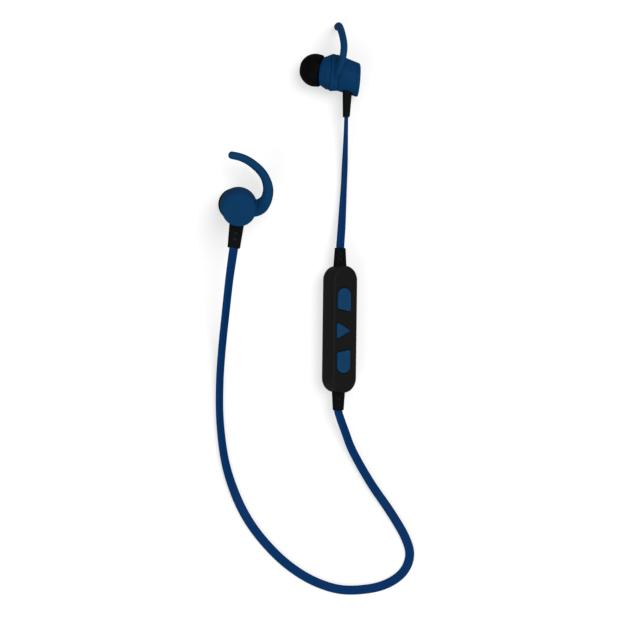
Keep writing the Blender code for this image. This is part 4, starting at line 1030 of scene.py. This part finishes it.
def pod_covers():
    """The two halves of the pod's case, with a fine parting line."""
    front_levels = [(-PARTING_CHAMFER, PARTING), (0.0, PARTING + PARTING_CHAMFER)]
    front_levels += quarter(POD_FRONT_EDGE, POD_DEPTH, 0.0, 1.0)
    mesh = stack("pod_front", POD_CORNERS, front_levels)
    front = piece_of("pod_front", mesh, POD, POD_SKIN, ROOT, "pod_black", "pod_front_cover")
    inside = [(-POD_WALL, -POD_DEPTH), (-POD_WALL, POD_FRONT_INSIDE)]
    cutters = [helper(stack("hollow", POD_CORNERS, inside), POD)]
    for name, corners, along, _ in BUTTONS:
        levels = [
            (FIT, 0.0),
            (FIT, POD_DEPTH - OPENING_CHAMFER),
            (FIT + 2.0 * OPENING_CHAMFER, POD_DEPTH + OPENING_CHAMFER),
        ]
        cutters.append(helper(stack(name, corners, levels), button_frame(along)))
    port_along, port_height = MICROPHONE_PLACE
    drill = [
        (0.0, -PORT_REACH),
        (MICROPHONE_PORT, -PORT_REACH),
        (MICROPHONE_PORT, PORT_REACH),
        (0.0, PORT_REACH),
    ]
    port = lathe("port", drill, closed=False, steps=PORT_STEPS)
    place = Matrix.Translation((POD_HALF_WIDTH, port_along, port_height))
    cutters.append(helper(port, POD @ place @ Matrix.Rotation(math.pi / 2.0, 4, "Y")))
    cut(front, cutters + relief_holes())
    shaded(front)

    rear_levels = [(-PARTING_CHAMFER, -PARTING), (0.0, -PARTING - PARTING_CHAMFER)]
    rear_levels += quarter(POD_REAR_EDGE, -POD_DEPTH, 0.0, -1.0, REAR_EDGE_STEPS)
    mesh = stack("pod_rear", POD_CORNERS, rear_levels)
    rear = piece_of("pod_rear", mesh, POD, POD_SKIN, ROOT, "pod_black", "pod_rear_cover")
    inner = [(-POD_WALL, POD_DEPTH)] + quarter(POD_REAR_EDGE - POD_WALL, -POD_REAR_INSIDE, -POD_WALL, -1.0)
    mouth = stack("mouth", oblong(*SOCKET_SIZE, SOCKET_CORNER), [(FIT, -MOUTH_REACH), (FIT, MOUTH_REACH)])
    cutters = [helper(stack("hollow", POD_CORNERS, inner), POD), helper(mouth, socket_frame())]
    cut(rear, cutters + relief_holes())
    shaded(rear)


def button(name, corners, along, marks):
    """A button with a soft edge and, on the volume keys, a fine sunk sign."""
    levels = [(BUTTON_FLANGE, FLANGE_BOTTOM), (BUTTON_FLANGE, FLANGE_TOP), (0.0, FLANGE_TOP)]
    levels += quarter(BUTTON_EDGE, BUTTON_TOP, 0.0, 1.0, BUTTON_EDGE_STEPS)
    place = button_frame(along)
    mesh = stack(name + "_cap", corners, levels)
    cap = piece_of(name + "_cap", mesh, place, BUTTON, name, "button_blue", name + "_button")
    bars = []
    for mark in marks:
        size = MARK_SIZE if mark == "along" else MARK_SIZE[::-1]
        sink = [(0.0, BUTTON_TOP - MARK_DEPTH), (0.0, BUTTON_TOP + MARK_DEPTH)]
        bars.append(helper(stack("mark", oblong(*size, MARK_ROUND), sink), place))
    if bars:
        cut(cap, bars)
    shaded(cap)


def charging_socket():
    """The socket's rolled shell, its tongue and its contacts."""
    place = socket_frame()
    corners = oblong(*SOCKET_SIZE, SOCKET_CORNER)
    mesh = stack("socket_shell", corners, [(0.0, -SOCKET_DEPTH), (0.0, 0.0)])
    shell = piece_of("socket_shell", mesh, place, STEEL, ROOT, "screen_steel", "charging_socket")
    inside = [(-SOCKET_WALL, SOCKET_BACK - SOCKET_DEPTH), (-SOCKET_WALL, POCKET_REACH)]
    cut(shell, [helper(stack("pocket", corners, inside), place)])
    shaded(shell)
    start = SOCKET_BACK - SOCKET_DEPTH - TONGUE_BURIED
    levels = [(0.0, start), (0.0, start + TONGUE_LENGTH)]
    tongue = stack("socket_tongue", oblong(*TONGUE_SIZE, TONGUE_ROUND), levels)
    shaded(piece_of("socket_tongue", tongue, place, CHIP, ROOT, "chip_black"))
    strips = bmesh.new()
    for index in range(CONTACT_COUNT):
        across = (index - (CONTACT_COUNT - 1) / 2.0) * CONTACT_PITCH
        middle = Vector((across, TONGUE_SIZE[1] / 2.0, start + TONGUE_LENGTH / 2.0))
        size = Matrix.Diagonal((*CONTACT_SIZE, TONGUE_LENGTH - CONTACT_SETBACK, 1.0))
        bmesh.ops.create_cube(strips, size=1.0, matrix=Matrix.Translation(middle) @ size)
    bmesh.ops.bevel(strips, geom=strips.edges, offset=CONTACT_EDGE, segments=1, affect="EDGES")
    mesh = to_mesh(strips, "socket_contacts")
    shaded(piece_of("socket_contacts", mesh, place, GOLD, ROOT, "screen_steel"))


def flat_cable(name, node, route):
    """A flat cable with round sides that follows its route, and tucks a little into the strain reliefs."""
    rows = [Vector((x, y, z, math.radians(roll))) for x, y, z, roll in route]
    first = 2.0 * rows[0] - rows[1]
    last = 2.0 * rows[-1] - rows[-2]
    points = smooth_route([first, rows[0], *rows[2:-2], rows[-1], last], CABLE_STEP)
    for place, end, beyond in ((0, rows[0], first), (len(points) + 1, rows[-1], last)):
        points.insert(place, end + (beyond - end) * CABLE_TUCK / (beyond - end).length)
    corners = oblong(CABLE_WIDTH, CABLE_THICKNESS, CABLE_THICKNESS / 2.0 - CABLE_FLAT)
    ring_shape = outline(corners, 0.0, CABLE_SIDES)
    travelled = 0.0
    shape = bmesh.new()
    uv = shape.loops.layers.uv.new("UVMap")
    rings = []
    lengths = []
    for index, point in enumerate(points):
        before = points[max(index - 1, 0)].xyz
        after = points[min(index + 1, len(points) - 1)].xyz
        tangent = (after - before).normalized()
        upright = (Vector((0.0, 0.0, 1.0)) - tangent * tangent.z).normalized()
        beside = tangent.cross(upright)
        wide = upright * math.cos(point.w) + beside * math.sin(point.w)
        thick = tangent.cross(wide)
        rings.append([shape.verts.new(point.xyz + wide * across + thick * up) for across, up in ring_shape])
        if index:
            travelled += (point.xyz - points[index - 1].xyz).length
        lengths.append(travelled)
    sides = len(ring_shape)
    girth = [0.0]
    for side in range(sides):
        start = Vector(ring_shape[side])
        girth.append(girth[-1] + (Vector(ring_shape[(side + 1) % sides]) - start).length)
    for index in range(len(rings) - 1):
        for side in range(sides):
            other = (side + 1) % sides
            face = shape.faces.new((rings[index][side], rings[index][other],
                                    rings[index + 1][other], rings[index + 1][side]))
            places = [(index, side), (index, side + 1), (index + 1, side + 1), (index + 1, side)]
            for loop, (step, round_) in zip(face.loops, places):
                loop[uv].uv = (lengths[step], girth[round_])
    shape.faces.new(reversed(rings[0]))
    shape.faces.new(rings[-1])
    cable = piece_of(name, to_mesh(shape, name), Matrix.Identity(4), CABLE, ROOT, "cable_blue", node)
    shaded(cable, ROLLED_SHARP_ANGLE)
    return cable


flat_cable("cable_right", "right_cable", RIGHT_ROUTE)
flat_cable("cable_left", "left_cable", LEFT_ROUTE)
bud("left", 1.0, LEFT_BUD)
bud("right", -1.0, RIGHT_BUD)
pod_covers()
for button_name, button_corners, button_along, button_marks in BUTTONS:
    button(button_name, button_corners, button_along, button_marks)
charging_socket()
upper = POD @ Matrix.Translation((0.0, POD_END - RELIEF_ROOT, 0.0))
lower = POD @ Matrix.Translation((0.0, RELIEF_ROOT - POD_END, 0.0)) @ Matrix.Rotation(math.pi, 4, "Z")
strain_relief("pod_upper", upper, POD_RELIEF, POD_WINDOW_START, "pod_upper_strain_relief")
strain_relief("pod_lower", lower, POD_RELIEF, POD_WINDOW_START, "pod_lower_strain_relief")

for cad_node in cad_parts.values():
    if cad_node.hide_render:
        continue
    slot_name = cad_node.data.materials[0].name.split(".")[0]
    if slot_name in NODE_FINISH:
        cad_node.data.materials[0] = NODE_FINISH[slot_name]


def seen_rays(tree):
    """A value that is 1 on rays from the camera, direct or mirrored, and 0 on rays that light."""
    rays = tree.nodes.new("ShaderNodeLightPath")
    found = rays.outputs["Is Camera Ray"]
    for kind in ("Is Glossy Ray", "Is Transmission Ray"):
        either = tree.nodes.new("ShaderNodeMath")
        either.operation = "MAXIMUM"
        tree.links.new(found, either.inputs[0])
        tree.links.new(rays.outputs[kind], either.inputs[1])
        found = either.outputs["Value"]
    return found


def floor():
    """A plain pale floor that stays white round the object and keeps its shadow."""
    material = bpy.data.materials.new("floor")
    material.use_nodes = True
    tree, shader, node = nodes_of(material)
    link = tree.links.new
    shader.inputs["Roughness"].default_value = FLOOR_ROUGHNESS
    shader.inputs["Specular IOR Level"].default_value = 0.0
    seen = seen_rays(tree)
    colour = node("ShaderNodeMix", data_type="RGBA")
    colour.inputs[MIX_FIRST].default_value = (*[FLOOR_COLOUR] * 3, 1.0)
    colour.inputs[MIX_SECOND].default_value = (*[FLOOR_SEEN_COLOUR] * 3, 1.0)
    link(seen, colour.inputs[0])
    link(colour.outputs[MIX_RESULT], shader.inputs["Base Color"])
    lift = node("ShaderNodeMath", operation="MULTIPLY")
    lift.inputs[1].default_value = FLOOR_LIFT
    link(seen, lift.inputs[0])
    glow = node("ShaderNodeEmission")
    link(lift.outputs["Value"], glow.inputs["Strength"])
    both = node("ShaderNodeAddShader")
    link(shader.outputs["BSDF"], both.inputs[0])
    link(glow.outputs["Emission"], both.inputs[1])
    link(both.outputs["Shader"], tree.nodes["Material Output"].inputs["Surface"])
    shape = bmesh.new()
    bmesh.ops.create_grid(shape, x_segments=1, y_segments=1, size=FLOOR_REACH)
    mesh = to_mesh(shape, "floor")
    mesh.materials.append(material)
    made = bpy.data.objects.new("floor", mesh)
    bpy.context.scene.collection.objects.link(made)
    made.location = (0.0, 0.0, -FLOOR_DROP)


def area_lamp(name, place, aim, size, power):
    """A square soft box."""
    data = bpy.data.lights.new(name, "AREA")
    data.shape = "SQUARE"
    data.size = size
    data.energy = power
    made = bpy.data.objects.new(name, data)
    bpy.context.scene.collection.objects.link(made)
    made.location = place
    made.rotation_euler = (Vector(aim) - Vector(place)).to_track_quat("-Z", "Y").to_euler()


def surroundings():
    """A soft white room, white where it is seen and dimmer where it lights."""
    world = bpy.data.worlds.new("room")
    world.use_nodes = True
    bpy.context.scene.world = world
    tree = world.node_tree
    back = tree.nodes["Background"]
    back.inputs["Color"].default_value = (1.0, 1.0, 1.0, 1.0)
    level = tree.nodes.new("ShaderNodeMapRange")
    level.inputs["To Min"].default_value = ROOM_LIGHT
    level.inputs["To Max"].default_value = 1.0
    tree.links.new(seen_rays(tree), level.inputs["Value"])
    tree.links.new(level.outputs["Result"], back.inputs["Strength"])


def camera():
    """The camera straight above, at the photograph's scale."""
    data = bpy.data.cameras.new("camera")
    data.sensor_fit = "HORIZONTAL"
    data.sensor_width = CAMERA_SENSOR
    data.lens = CAMERA_LENS
    made = bpy.data.objects.new("camera", data)
    bpy.context.scene.collection.objects.link(made)
    made.location = CAMERA_PLACE
    bpy.context.scene.camera = made


floor()
surroundings()
area_lamp("key", KEY_PLACE, LAMP_AIM, KEY_SIZE, KEY_POWER)
area_lamp("fill", FILL_PLACE, LAMP_AIM, FILL_SIZE, FILL_POWER)
camera()
bpy.context.scene.view_settings.view_transform = "Standard"
